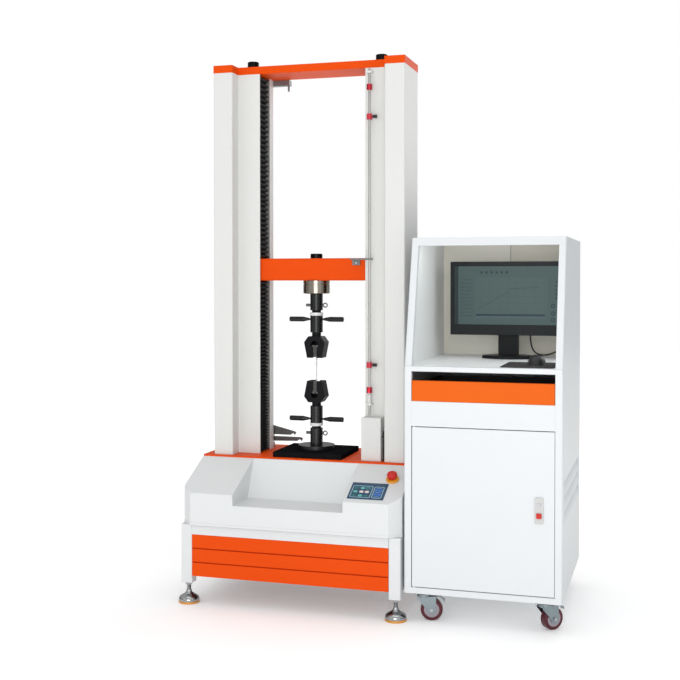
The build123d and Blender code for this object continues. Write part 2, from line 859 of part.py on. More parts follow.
# Grip body: stem, collar and neck, then the shouldered block with its keyhole and wedge pocket
def grip_body(base):
    socket_floor = adapter_length - stem_socket + fit_gap
    face = face_plane(base)
    with BuildPart() as body:
        with BuildSketch(base.offset(socket_floor)):
            Circle(stem_radius)
        extrude(amount=body_start - socket_floor)
        with BuildSketch(base.offset(adapter_length)):
            Circle(collar_diameter / 2)
        extrude(amount=collar_length)
        with BuildSketch(base.offset(sleeve_end + fit_gap)):
            Circle(collar_diameter / 2)
        extrude(amount=body_start - sleeve_end - fit_gap)
        with BuildSketch(face):
            with BuildLine():
                Polyline(
                    (-body_neck_half, body_start),
                    (-body_shoulder_half, body_start + body_shoulder_drop),
                    (-body_mouth_half, body_end),
                    (body_mouth_half, body_end),
                    (body_shoulder_half, body_start + body_shoulder_drop),
                    (body_neck_half, body_start),
                    close=True,
                )
            make_face()
        extrude(amount=body_depth / 2, both=True)
        with BuildSketch(face):
            with Locations((0, body_start + keyhole_drop)):
                Circle(keyhole_diameter / 2)
            with Locations((0, (body_start + keyhole_drop + body_end) / 2)):
                Rectangle(keyhole_slot, body_end - body_start - keyhole_drop)
        extrude(amount=body_depth / 2, both=True, mode=Mode.SUBTRACT)
        wide = jaw_tip + (jaw_end - pocket_start) * wedge_slope + slide_gap
        narrow = jaw_tip - jaw_recess * wedge_slope + slide_gap
        with BuildSketch(face):
            with BuildLine():
                Polyline(
                    (-wide, pocket_start),
                    (wide, pocket_start),
                    (narrow, body_end),
                    (-narrow, body_end),
                    close=True,
                )
            make_face()
        extrude(amount=pocket_half, both=True, mode=Mode.SUBTRACT)
        with BuildSketch(cross_plane(base, pin_drop)):
            Circle(pin_diameter / 2 + fit_gap)
        extrude(amount=adapter_diameter, both=True, mode=Mode.SUBTRACT)
    return body.part


# Turning sleeve with two tommy bars, which draws the jaws along their pocket
def grip_handle(base):
    sleeve_start = adapter_length + collar_length + fit_gap
    rod_half = handle_span / 2 - handle_grip_length
    with BuildPart() as handle:
        with BuildSketch(base.offset(sleeve_start)):
            Circle(ring_diameter / 2)
        extrude(amount=ring_height)
        with BuildSketch(base.offset(sleeve_start)):
            Circle(sleeve_diameter / 2)
        extrude(amount=sleeve_end - sleeve_start)
        with BuildSketch(cross_plane(base, handle_drop)):
            Circle(handle_rod_diameter / 2)
        extrude(amount=handle_span / 2 - groove_depth, both=True)
        for side in (-1, 1):
            grip_start = cross_plane(base, handle_drop).offset(side * rod_half)
            with BuildSketch(grip_start):
                Circle(handle_grip_diameter / 2)
            extrude(amount=side * handle_grip_length)
            with BuildSketch(grip_start):
                Circle(handle_grip_diameter / 2)
            extrude(amount=-side * handle_taper_length, taper=handle_taper_angle)
        for end in (handle.edges().group_by(Axis.X)[0], handle.edges().group_by(Axis.X)[-1]):
            fillet(end, groove_depth)
        with BuildSketch(base.offset(sleeve_start)):
            Circle(stem_radius + fit_gap)
        extrude(amount=sleeve_end - sleeve_start, mode=Mode.SUBTRACT)
    return handle.part


# Wedge jaw on the given side of the load axis
def grip_jaw(base, side):
    with BuildPart() as jaw:
        with BuildSketch(face_plane(base)):
            with BuildLine():
                Polyline(
                    (side * jaw_gap_half, jaw_start),
                    (side * (jaw_tip + jaw_length * wedge_slope), jaw_start),
                    (side * jaw_tip, jaw_end),
                    (side * jaw_gap_half, jaw_end),
                    close=True,
                )
            make_face()
        extrude(amount=pocket_half - slide_gap, both=True)
    return jaw.part


# Lock pin with a finger ring on its right end
def grip_pin(base):
    ring_radius = (pin_loop_diameter - pin_loop_wire) / 2
    ring_x = adapter_radius + pin_loop_gap + pin_loop_diameter / 2
    with BuildPart() as pin:
        with BuildSketch(cross_plane(base, pin_drop).offset(-pin_left)):
            Circle(pin_diameter / 2)
        extrude(amount=pin_left + ring_x - ring_radius)
        with Locations(Plane(base.from_local_coords((ring_x, 0, pin_drop)), z_dir=base.y_dir)):
            Torus(ring_radius, pin_loop_wire / 2)
        chamfer(pin.edges().group_by(Axis.X)[0], cell_ring_depth / 2)
    return pin.part


upper_parts = {
    "upper_adapter": grip_adapter(upper_base, False),
    "upper_grip_body": grip_body(upper_base),
    "upper_handle": grip_handle(upper_base),
    "upper_jaw_left": grip_jaw(upper_base, -1),
    "upper_jaw_right": grip_jaw(upper_base, 1),
    "upper_lock_pin": grip_pin(upper_base),
}
lower_parts = {
    "lower_post": grip_adapter(lower_base, True),
    "lower_grip_body": grip_body(lower_base),
    "lower_handle": grip_handle(lower_base),
    "lower_jaw_left": grip_jaw(lower_base, -1),
    "lower_jaw_right": grip_jaw(lower_base, 1),
    "lower_lock_pin": grip_pin(lower_base),
}
for grip_name, grip_part in (upper_parts | lower_parts).items():
    grip_part.label = grip_name
    export_step(grip_part, f"parts/{grip_name}.step")


# Bellows: pleated sheets that close both column slots between two heights
def bellows_sheets(low, high):
    pleats = round((high - low) / pleat_pitch)
    step = (high - low) / (2 * pleats)
    near = column_inner_half + bellows_inset + bellows_sheet / 2
    folds = [(near + (i % 2) * pleat_depth, low + i * step) for i in range(2 * pleats + 1)]
    outline = [(x - bellows_sheet / 2, z) for x, z in folds]
    outline += [(x + bellows_sheet / 2, z) for x, z in reversed(folds)]
    slot_front = column_sheet - column_inner_front + bellows_clearance
    slot_back = slot_rear - bellows_clearance
    with BuildPart() as sheets:
        for side in (-1, 1):
            with BuildSketch(Plane.XZ.offset(-(load_y + slot_back))):
                with BuildLine():
                    Polyline(*[(load_x + side * x, z) for x, z in outline], close=True)
                make_face()
            extrude(amount=slot_back - slot_front)
    return sheets.part


for bellows_name, low, high in (
    ("bellows_upper", crosshead_top, column_top),
    ("bellows_lower", table_top, crosshead_bottom),
):
    bellows = bellows_sheets(low, high)
    bellows.label = bellows_name
    export_step(bellows, f"parts/{bellows_name}.step")

# Limit switch box at the foot of the right column, and the two brackets that guide its rod
upper_bracket = column_top - upper_bracket_drop
rod_top = upper_bracket + bracket_thickness + rod_lead
rod_bottom = lower_bracket - rod_tail
guide_sleeve_top = lower_bracket + bracket_thickness + guide_sleeve_length
rod_x = load_x + column_inner_half + rod_inset
rod_y = load_y - rod_forward
rod_radius = rod_diameter / 2
column_face = load_y - column_inner_front
switch_right = load_x + column_inner_half - switch_overhang + switch_width
plug_x = switch_right + plug_size / 2
plug_y = column_face - switch_depth / 2
plug_height = table_top + plug_rise
with BuildPart() as limit_switch_box:
    with BuildSketch(Plane((switch_right - switch_width / 2, plug_y, table_top))):
        Rectangle(switch_width, switch_depth)
    extrude(amount=switch_height)
    chamfer(limit_switch_box.edges().group_by(Axis.Z)[-1], membrane_thickness)
    bracket_span = (rod_y - bracket_width / 2, column_face)
    for height in (lower_bracket, upper_bracket):
        bracket_z = (height, height + bracket_thickness)
        slab((rod_x - bracket_width / 2, rod_x + bracket_width / 2), bracket_span, bracket_z)
    with BuildSketch(Plane((rod_x, rod_y, lower_bracket + bracket_thickness))):
        Circle(rod_diameter)
    extrude(amount=guide_sleeve_length)
    with BuildSketch(Plane((rod_x, rod_y, lower_bracket))):
        Circle(rod_radius + run_gap)
    extrude(amount=rod_top - lower_bracket, mode=Mode.SUBTRACT)
    with BuildSketch(Plane((plug_x, plug_y, plug_height - plug_drop))):
        Circle(plug_size / 2)
    extrude(amount=plug_drop)
    plug_span = (plug_y - cable_diameter, plug_y + cable_diameter)
    slab((switch_right, plug_x), plug_span, (plug_height - plug_size, plug_height))
    with BuildSketch(Plane((plug_x, plug_y, table_top))):
        Circle(grommet_diameter / 2)
    extrude(amount=grommet_height)
limit_switch_box.part.label = "limit_switch_box"
export_step(limit_switch_box.part, "parts/limit_switch_box.step")


# Tube along a route of chosen points, with each corner as round as its two runs allow
def cord_tube(name, route, diameter):
    points = [Vector(*point) for point in route]
    radii = []
    for before, corner, after in zip(points, points[1:], points[2:]):
        turn = (corner - before).get_angle(after - corner)
        shorter = min((corner - before).length, (after - corner).length)
        radii.append(cord_round * shorter / tan(radians(turn / 2)))
    print(name, "radii", [round(radius) for radius in radii])
    with BuildPart() as tube:
        with BuildLine():
            path = FilletPolyline(*points, radius=radii)
        with BuildSketch(Plane(path @ 0, z_dir=path % 0)):
            Circle(diameter / 2)
        sweep()
    print(name, "volume over section times length", tube.part.volume / (pi * diameter**2 / 4 * path.length))
    return tube.part


# Short sensor cable from the plug down to the grommet in the worktable
cable_low = table_top + grommet_height
cable_high = plug_height - plug_drop
cable_route = [
    (plug_x, plug_y, cable_high),
    (plug_x, plug_y, cable_high - 18),
    (plug_x + 1, plug_y - 5, cable_high - 36),
    (plug_x + 1, plug_y - 5, cable_low + 34),
    (plug_x, plug_y, cable_low + 18),
    (plug_x, plug_y, cable_low),
]
sensor_cable = cord_tube("sensor_cable", cable_route, cable_diameter)
sensor_cable.label = "sensor_cable"
export_step(sensor_cable, "parts/sensor_cable.step")

# Limit rod with its two fixed end stops
upper_stop = upper_bracket - upper_stop_drop
lower_stop = guide_sleeve_top + lower_stop_gap + stop_height / 2
upper_collar = upper_stop - upper_collar_drop
lower_collar = lower_stop + lower_collar_rise
with BuildPart() as limit_rod:
    with BuildSketch(Plane((rod_x, rod_y, rod_bottom))):
        Circle(rod_radius)
    extrude(amount=rod_top - rod_bottom)
    for height in (upper_stop, lower_stop):
        with BuildSketch(Plane((rod_x, rod_y, height - stop_height / 2))):
            Circle(collar_size / 2)
        extrude(amount=stop_height)
limit_rod.part.label = "limit_rod"
export_step(limit_rod.part, "parts/limit_rod.step")

# Sliding collars, each clamped to the rod by a thumb screw
for collar_name, height in (("upper", upper_collar), ("lower", lower_collar)):
    with BuildPart() as limit_collar:
        with BuildSketch(Plane((rod_x, rod_y, height - stop_height / 2))):
            Circle(collar_size / 2)
        extrude(amount=stop_height)
        with BuildSketch(Plane.YZ.offset(rod_x)):
            with Locations((rod_y, height)):
                Circle(rod_radius)
        extrude(amount=collar_size / 2 + rod_radius)
        with BuildSketch(Plane.YZ.offset(rod_x + collar_size / 2 + rod_radius)):
            with Locations((rod_y, height)):
                Circle(knob_diameter / 2)
        extrude(amount=knob_length)
        fillet(limit_collar.edges().group_by(Axis.X)[-1], membrane_thickness)
        with BuildSketch(Plane((rod_x, rod_y, height - stop_height / 2))):
            Circle(rod_radius + run_gap)
        extrude(amount=stop_height, mode=Mode.SUBTRACT)
    limit_collar.part.label = f"limit_collar_{collar_name}"
    export_step(limit_collar.part, f"parts/limit_collar_{collar_name}.step")

# Striker: plate on the crosshead's front with a bored finger round the rod
striker_back = load_y - crosshead_depth / 2
striker_front = striker_back - striker_plate
striker_low = crosshead_top - striker_top_gap - striker_height
striker_top = striker_low + striker_height
striker_x = load_x + column_inner_half - striker_inset
finger_back = rod_y + striker_arm_width / 2
with BuildPart() as limit_striker:
    striker_z = (striker_low, striker_top)
    slab((striker_x, striker_x + striker_width), (striker_front, striker_back), striker_z)
    finger_z = (striker_top - striker_arm_height, striker_top)
    slab((striker_x, striker_x + striker_arm_width), (finger_back, striker_front), finger_z)
    finger_end = rod_x + striker_arm_width / 2 + groove_depth
    slab((striker_x, finger_end), (rod_y - striker_arm_width / 2, finger_back), finger_z)
    with Locations((rod_x, rod_y, finger_z[1])):
        Hole(rod_radius + 2 * slide_gap, striker_arm_height)
limit_striker.part.label = "limit_striker"
export_step(limit_striker.part, "parts/limit_striker.step")

# Extensometer mast behind the left column, on a table block and a bracket under the top beam
mast_x = load_x - column_inner_half - mast_inset
mast_y = load_y + mast_behind
mast_radius = mast_diameter / 2
mast_high = column_top
with BuildPart() as extensometer_mast:
    with BuildSketch(Plane((mast_x, mast_y, table_top))):
        Circle(mast_radius)
    extrude(amount=mast_high - table_top)
    block_y = (load_y + column_rear, mast_y + mast_bar / 2)
    slab((mast_x - mast_bar, mast_x + mast_bar), block_y, (table_top, table_top + mast_bar))
    slab((mast_x - mast_bar, mast_x + mast_reach), block_y, (mast_high - mast_bar, mast_high))
    with BuildSketch(Plane((mast_x + mast_reach - mast_radius, mast_y, mast_high - mast_bar))):
        Circle(rod_radius)
    extrude(amount=-mast_bar)
extensometer_mast.part.label = "extensometer_mast"
export_step(extensometer_mast.part, "parts/extensometer_mast.step")

# The two follower arms, parked to the side on carriers that slide on the mast
with BuildPart() as extensometer_arms:
    for rise, reach, top, belly in zip(arm_rises, arm_lengths, arm_tops, arm_bellies):
        height = table_top + rise
        carrier_z = (height - carrier_height / 2, height + carrier_height / 2)
        carrier_x = (mast_x - carrier_size / 2, mast_x + carrier_size / 2)
        slab(carrier_x, (mast_y - mast_bar / 2, mast_y + carrier_size / 2), carrier_z)
        with BuildSketch(Plane.XZ.offset(-mast_y)):
            with BuildLine():
                Polyline(
                    (mast_x, height + top),
                    (mast_x + reach - arm_edge, height + arm_thickness / 2),
                    (mast_x + reach, height),
                    (mast_x + reach - arm_edge / 2, height - arm_edge),
                    (mast_x + reach - arm_edge, height - arm_thickness / 2),
                    (mast_x + reach - 2 * arm_edge, height - arm_edge),
                    (mast_x, height - belly),
                    close=True,
                )
            make_face()
        extrude(amount=arm_thickness / 2, both=True)
    with BuildSketch(Plane((mast_x, mast_y, table_top))):
        Circle(mast_radius + run_gap)
    extrude(amount=mast_high - table_top, mode=Mode.SUBTRACT)
extensometer_arms.part.label = "extensometer_arms"
export_step(extensometer_arms.part, "parts/extensometer_arms.step")

# Cabinet: folded sheets on a welded front frame, with the bay front leaning back above the knee
inner_left = cabinet_left + cabinet_sheet
inner_right = cabinet_right - cabinet_sheet
inner_span = (inner_left + fit_gap, inner_right - fit_gap)
door_span = (cabinet_left + post_width, cabinet_right - post_width)
back_y = cabinet_rear - back_panel
lean_slope = cabinet_lean / (cabinet_top - cabinet_knee)
deck_top = cabinet_bottom + cabinet_sheet
door_bottom = cabinet_bottom + bottom_rail
hinge_x = door_span[0] + door_gap + door_pivot
hinge_y = cabinet_front + door_pivot
lead_x = cabinet_left + lead_offset
gland_high = monitor_bottom + gland_rise
gland_low = shelf_top + gland_lift
gland_radius = gland_diameter / 2


# Side view strip along the cabinet's front, as deep as given, between two heights
def front_strip(low, high, depth):
    knee = max(low, cabinet_knee)
    with BuildSketch(Plane.YZ) as strip:
        with BuildLine():
            outline = [(cabinet_front, low)] if low < cabinet_knee else []
            outline.append((cabinet_front + (knee - cabinet_knee) * lean_slope, knee))
            if high > cabinet_knee:
                outline.append((cabinet_front + (high - cabinet_knee) * lean_slope, high))
            Polyline(*outline, *[(y + depth, z) for y, z in reversed(outline)], close=True)
        make_face()
    return strip.sketch


with BuildPart() as cabinet_body:
    for side_x in (cabinet_left, inner_right):
        with BuildSketch(Plane.YZ.offset(side_x)):
            with BuildLine():
                Polyline(
                    (cabinet_front, cabinet_bottom),
                    (cabinet_front, cabinet_knee),
                    (cabinet_front + cabinet_lean, cabinet_top),
                    (cabinet_rear, cabinet_top),
                    (cabinet_rear, cabinet_bottom),
                    close=True,
                )
            make_face()
        extrude(amount=cabinet_sheet)
    vent_y = (cabinet_front + vent_front, cabinet_rear - vent_rear)
    vent_high = vent_low + vent_count * vent_pitch
    slab((cabinet_left, cabinet_right), vent_y, (vent_low, vent_high), Mode.SUBTRACT)
    for side, skin in ((-1, cabinet_left), (1, cabinet_right)):
        slats = [(skin, vent_low + fit_gap)]
        for i in range(vent_count):
            slats.append((skin - side * vent_depth, vent_low + (i + 1) * vent_pitch - fit_gap))
            slats.append((skin, vent_low + (i + 1) * vent_pitch - fit_gap))
        inside = skin - side * (vent_depth + cabinet_sheet)
        with BuildSketch(Plane.XZ.offset(-vent_y[1] + fit_gap)):
            with BuildLine():
                Polyline(
                    *slats[:-1],
                    (inside, vent_high - fit_gap),
                    (inside, vent_low + fit_gap),
                    close=True,
                )
            make_face()
        extrude(amount=vent_y[1] - vent_y[0] - 2 * fit_gap)
    post_inner = post_width - cabinet_sheet - fit_gap
    frame_y = (cabinet_front, cabinet_front + post_depth)
    for post_x_low in (inner_span[0], inner_span[1] - post_inner):
        post_span = (post_x_low, post_x_low + post_inner)
        slab(post_span, frame_y, (door_bottom + fit_gap, shelf_bottom - fit_gap))
        bay_post = front_strip(shelf_top + fit_gap, cabinet_top - top_rail - fit_gap, post_depth)
        extrude(bay_post.moved(Location((post_x_low, 0, 0))), amount=post_inner, dir=(1, 0, 0))
    slab(inner_span, frame_y, (cabinet_bottom, door_bottom))
    slab(inner_span, (cabinet_front + post_depth + fit_gap, back_y - fit_gap), (cabinet_bottom, deck_top))
    slab((door_span[0] + fit_gap, door_span[1] - fit_gap), frame_y, (door_top, panel_top))
    tray_back = cabinet_front + post_depth + fit_gap
    slab(inner_span, (tray_back, back_y - fit_gap), (panel_top - cabinet_sheet, panel_top))
    slab(inner_span, (cabinet_front, back_y - fit_gap), (shelf_bottom, shelf_top))
    slab(inner_span, (back_y, back_y + cabinet_sheet), (cabinet_bottom, cabinet_top))
    bay_rail = front_strip(cabinet_top - top_rail, cabinet_top, post_depth)
    rail_length = inner_span[1] - inner_span[0]
    extrude(bay_rail.moved(Location((inner_span[0], 0, 0))), amount=rail_length, dir=(1, 0, 0))
    roof_y = (cabinet_front + cabinet_lean + post_depth + fit_gap, back_y - fit_gap)
    slab(inner_span, roof_y, (cabinet_top - cabinet_sheet, cabinet_top))
    for side, wall in ((1, inner_span[0]), (-1, inner_span[1])):
        runner_x = sorted((wall, cabinet_mid - side * (drawer_tray_half + fit_gap)))
        runner_low = panel_top + runner_rise
        slab(runner_x, (tray_back, tray_back + drawer_tray_depth), (runner_low, runner_low + runner_height))
    with Locations((hinge_x, hinge_y, panel_top)):
        Hole(door_pin_diameter / 2 + run_gap, panel_top - door_top)
    with Locations((hinge_x, hinge_y, door_bottom)):
        Hole(door_pin_diameter / 2 + run_gap, bottom_rail)
    with BuildSketch(Plane((cabinet_mid, (cabinet_front + cabinet_rear) / 2, cabinet_bottom - caster_plate))):
        caster_pitch_x = cabinet_width - 2 * caster_inset_x
        caster_pitch_y = cabinet_depth - 2 * caster_inset_y
        with GridLocations(caster_pitch_x, caster_pitch_y, 2, 2):
            RectangleRounded(caster_plate_size, caster_plate_size, groove_depth)
    extrude(amount=caster_plate - fit_gap)
    with BuildSketch(Plane.XZ.offset(-back_y)):
        with Locations((lead_x, gland_high)):
            Circle(gland_radius)
    extrude(amount=gland_length)
    with BuildSketch(Plane.YZ.offset(inner_right)):
        with Locations((back_y - gland_low + shelf_top, gland_low)):
            Circle(gland_radius)
    extrude(amount=-gland_length)
cabinet_body.part.label = "cabinet_body"
export_step(cabinet_body.part, "parts/cabinet_body.step")

# Cabinet door: folded tray on two pivot pins, with the lock plate on its right edge
door_left = door_span[0] + door_gap
door_right = door_span[1] - door_gap / 2
door_low = door_bottom + door_gap
door_high = door_top - door_gap
door_back = cabinet_front + post_depth
lock_x = door_right - lock_edge - lock_plate_width / 2
with BuildPart() as cabinet_door:
    slab((door_left, door_right), (cabinet_front, door_back), (door_low, door_high))
    with BuildSketch(Plane.XZ.offset(-door_back)):
        with Locations(((door_left + door_right) / 2, (door_low + door_high) / 2)):
            Rectangle(door_right - door_left - 4 * door_pivot, door_high - door_low - 2 * post_depth)
    extrude(amount=post_depth - cabinet_sheet, mode=Mode.SUBTRACT)
    for height, length in ((door_high, door_gap + post_depth / 2), (door_low, -door_gap - post_depth / 2)):
        with BuildSketch(Plane((hinge_x, hinge_y, height))):
            Circle(door_pin_diameter / 2)
        extrude(amount=length)
    with BuildSketch(Plane.XZ.offset(-cabinet_front)):
        with Locations((lock_x, lock_height)):
            RectangleRounded(lock_plate_width, lock_plate_height, groove_depth)
    extrude(amount=lock_plate_thickness)
    button_z = lock_height - lock_plate_height / 2 + lock_button_lift
    hole_size = lock_button_size + 2 * slide_gap
    with BuildSketch(Plane.XZ.offset(-cabinet_front + lock_plate_thickness)):
        with Locations((lock_x, button_z)):
            RectangleRounded(hole_size, hole_size, lock_button_corner + slide_gap)
    extrude(amount=-lock_plate_thickness, mode=Mode.SUBTRACT)
cabinet_door.part.label = "cabinet_door"
export_step(cabinet_door.part, "parts/cabinet_door.step")

# Red push button of the door lock
with BuildPart() as door_lock:
    with BuildSketch(Plane.XZ.offset(-cabinet_front + lock_travel + fit_gap)):
        with Locations((lock_x, button_z)):
            RectangleRounded(lock_button_size, lock_button_size, lock_button_corner)
    extrude(amount=lock_plate_thickness + lock_button_rise - lock_travel)
    fillet(door_lock.edges().group_by(Axis.Y)[0], membrane_thickness)
door_lock.part.label = "door_lock"
export_step(door_lock.part, "parts/door_lock.step")

# Keyboard drawer: front panel and tray, carried by the runners under its side flanges
drawer_low = panel_top + fit_gap
tray_low = panel_top + runner_rise + runner_height + fit_gap
tray_front = cabinet_front + drawer_front_thickness
with BuildPart() as keyboard_drawer:
    front_x = (door_span[0] + door_gap / 2, door_span[1] - door_gap / 2)
    slab(front_x, (cabinet_front, tray_front), (drawer_low, drawer_top))
    fillet(keyboard_drawer.edges().group_by(Axis.Y)[0], cell_ring_depth)
    tray_y = (tray_front, tray_front + drawer_tray_depth)
    flange_half = drawer_tray_half + post_width / 2
    floor_z = (tray_low, tray_low + drawer_wall / 2)
    slab((cabinet_mid - flange_half, cabinet_mid + flange_half), tray_y, floor_z)
    for side in (-1, 1):
        wall_half = drawer_tray_half - drawer_wall
        wall_x = sorted((cabinet_mid + side * drawer_tray_half, cabinet_mid + side * wall_half))
        slab(wall_x, tray_y, (tray_low, tray_low + drawer_wall_height))
    tray_x = (cabinet_mid - drawer_tray_half, cabinet_mid + drawer_tray_half)
    slab(tray_x, (tray_y[1] - drawer_wall, tray_y[1]), (tray_low, tray_low + drawer_wall_height))
keyboard_drawer.part.label = "keyboard_drawer"
export_step(keyboard_drawer.part, "parts/keyboard_drawer.step")

# Monitor stand: oval base, flat neck and the hinge barrel behind the panel
monitor_x = cabinet_left + monitor_offset
monitor_front = cabinet_front + monitor_setback
monitor_mid = monitor_bottom + monitor_height / 2
monitor_back = monitor_front + monitor_depth + monitor_back_depth
hinge_radius = hinge_diameter / 2
barrel_y = monitor_back + hinge_gap + hinge_radius
barrel_half = stand_neck_width / 2
with BuildPart() as monitor_stand:
    with BuildSketch(Plane((monitor_x, barrel_y - stand_depth / 4, shelf_top))):
        Ellipse(stand_width / 2, stand_depth / 2)
    extrude(amount=stand_base)
    chamfer(monitor_stand.edges().group_by(Axis.Z)[-1], groove_depth)
    slab(
        (monitor_x - barrel_half, monitor_x + barrel_half),
        (barrel_y - hinge_radius, barrel_y - hinge_radius + stand_neck_depth),
        (shelf_top + stand_base, monitor_mid - hinge_radius - fit_gap),
    )
    for side in (-1, 1):
        ear_x = sorted((monitor_x + side * barrel_half, monitor_x + side * barrel_half / 2))
        ear_y = (barrel_y - hinge_radius, barrel_y - hinge_radius + stand_neck_depth)
        slab(ear_x, ear_y, (monitor_mid - hinge_radius - fit_gap, monitor_mid + hinge_radius))
    with BuildSketch(Plane.YZ.offset(monitor_x)):
        with Locations((barrel_y, monitor_mid)):
            Circle(hinge_radius / 2 + run_gap)
    extrude(amount=barrel_half, both=True, mode=Mode.SUBTRACT)
monitor_stand.part.label = "monitor_stand"
export_step(monitor_stand.part, "parts/monitor_stand.step")

# Monitor: framed flat panel with a tapered back and the hinge pin that turns in the stand
with BuildPart() as monitor_panel:
    with BuildSketch(Plane.XZ.offset(-monitor_front)):
        with Locations((monitor_x, monitor_mid)):
            RectangleRounded(monitor_width, monitor_height, groove_depth)
    extrude(amount=-monitor_depth)
    with BuildSketch(Plane.XZ.offset(-monitor_front - monitor_depth)):
        with Locations((monitor_x, monitor_mid)):
            RectangleRounded(monitor_back_width, monitor_back_height, stud_diameter)
    extrude(amount=-monitor_back_depth, taper=20)
    knuckle_half = barrel_half / 2 - slide_gap
    slab(
        (monitor_x - knuckle_half, monitor_x + knuckle_half),
        (monitor_back - fit_gap, barrel_y),
        (monitor_mid - hinge_radius + slide_gap, monitor_mid + hinge_radius),
    )
    with BuildSketch(Plane.YZ.offset(monitor_x)):
        with Locations((barrel_y, monitor_mid)):
            Circle(hinge_radius - slide_gap)
    extrude(amount=knuckle_half, both=True)
    with BuildSketch(Plane.YZ.offset(monitor_x)):
        with Locations((barrel_y, monitor_mid)):
            Circle(hinge_radius / 2)
    extrude(amount=barrel_half, both=True)
monitor_panel.part.label = "monitor_panel"
export_step(monitor_panel.part, "parts/monitor_panel.step")

# Monitor lead: hangs from a gland in the back wall, lies on the shelf and leaves at the right
lead_start_y = back_y - gland_length
lead_end_x = inner_right - gland_length
lead_end_y = back_y - gland_low + shelf_top
lead_route = [
    (lead_x, lead_start_y, gland_high),
    (lead_x, lead_start_y - 22, gland_high),
    (lead_x, lead_start_y - 44, gland_high - 18),
    (lead_x + 1, lead_start_y - 52, gland_high - 54),
    (lead_x, lead_start_y - 54, shelf_top + 96),
    (lead_x + 2, lead_start_y - 55, shelf_top + 52),
    (lead_x + 14, lead_start_y - 56, shelf_top + 20),
    (lead_x + 40, lead_start_y - 54, shelf_top + 6),
    (lead_x + 74, lead_start_y - 46, shelf_top + 8),
    (lead_x + 106, lead_start_y - 38, shelf_top + 22),
    (lead_x + 132, lead_start_y - 34, shelf_top + 40),
    (lead_end_x - 22, lead_end_y, gland_low),
    (lead_end_x, lead_end_y, gland_low),
]
monitor_lead = cord_tube("monitor_lead", lead_route, lead_diameter)
monitor_lead.label = "monitor_lead"
export_step(monitor_lead, "parts/monitor_lead.step")

# Casters: swivel forks with a brake pedal, and polyurethane wheels on plain axles
wheel_radius = wheel_diameter / 2
fork_top = cabinet_bottom - caster_plate - fit_gap
cheek_y = wheel_width / 2 + cell_ring_depth
crown_low = wheel_diameter + groove_depth
fork_boss = fork_boss_diameter / 2
caster_spots = [
    (cabinet_mid + sx * (cabinet_width / 2 - caster_inset_x), sy)
    for sy in (cabinet_front + caster_inset_y, cabinet_rear - caster_inset_y)
    for sx in (-1, 1)
]
caster_names = ("front_left", "front_right", "rear_left", "rear_right")
for caster_name, spot, heading in zip(caster_names, caster_spots, caster_headings):
    turn = (cos(radians(heading)), sin(radians(heading)), 0)
    caster = Plane((*spot, 0), x_dir=turn, z_dir=(0, 0, 1))
    cheek = Plane((*spot, 0), x_dir=turn, z_dir=(turn[1], -turn[0], 0))
    with BuildPart() as caster_fork:
        with BuildSketch(caster.offset(crown_low)):
            Circle(fork_race_diameter / 2)
        extrude(amount=fork_top - crown_low)
        with BuildSketch(caster.offset(crown_low)):
            with Locations((caster_trail / 2, 0)):
                crown_length = fork_race_diameter + caster_trail / 2
                RectangleRounded(crown_length, 2 * (cheek_y + fork_sheet), groove_depth)
        extrude(amount=groove_depth)
        for side in (-1, 1):
            with BuildSketch(cheek.offset(side * (cheek_y + fork_sheet / 2))):
                with BuildLine():
                    Polyline(
                        (-fork_lead, crown_low + groove_depth),
                        (caster_trail + fork_boss, crown_low + groove_depth),
                        (caster_trail + fork_boss, wheel_radius),
                        (caster_trail - fork_boss, wheel_radius),
                        (-fork_lead, crown_low - groove_depth),
                        close=True,
                    )
                make_face()
                with Locations((caster_trail, wheel_radius)):
                    Circle(fork_boss)
            extrude(amount=fork_sheet / 2, both=True)
        with BuildSketch(cheek):
            with Locations((caster_trail, wheel_radius)):
                Circle(axle_diameter / 2)
        extrude(amount=cheek_y + fork_sheet, both=True)
        with BuildSketch(cheek):
            with BuildLine():
                Polyline(
                    (caster_trail, crown_low + groove_depth),
                    (caster_trail + pedal_reach - pedal_drop, crown_low + groove_depth),
                    (caster_trail + pedal_reach, crown_low - pedal_drop / 2),
                    (caster_trail + pedal_reach, crown_low - pedal_drop),
                    (caster_trail + pedal_reach - pedal_drop, crown_low),
                    (caster_trail, crown_low),
                    close=True,
                )
            make_face()
        extrude(amount=pedal_width / 2, both=True)
    caster_fork.part.label = f"caster_fork_{caster_name}"
    export_step(caster_fork.part, f"parts/caster_fork_{caster_name}.step")

    with BuildPart() as caster_wheel:
        with BuildSketch(cheek):
            with Locations((caster_trail, wheel_radius)):
                Circle(wheel_radius)
        extrude(amount=wheel_width / 2, both=True)
        rims = caster_wheel.edges().filter_by(GeomType.CIRCLE)
        fillet(rims, groove_depth)
        with BuildSketch(cheek):
            with Locations((caster_trail, wheel_radius)):
                Circle(axle_diameter)
        extrude(amount=cheek_y - fit_gap, both=True)
        with BuildSketch(cheek):
            with Locations((caster_trail, wheel_radius)):
                Circle(axle_diameter / 2 + run_gap)
        extrude(amount=cheek_y, both=True, mode=Mode.SUBTRACT)
    caster_wheel.part.label = f"caster_wheel_{caster_name}"
    export_step(caster_wheel.part, f"parts/caster_wheel_{caster_name}.step")
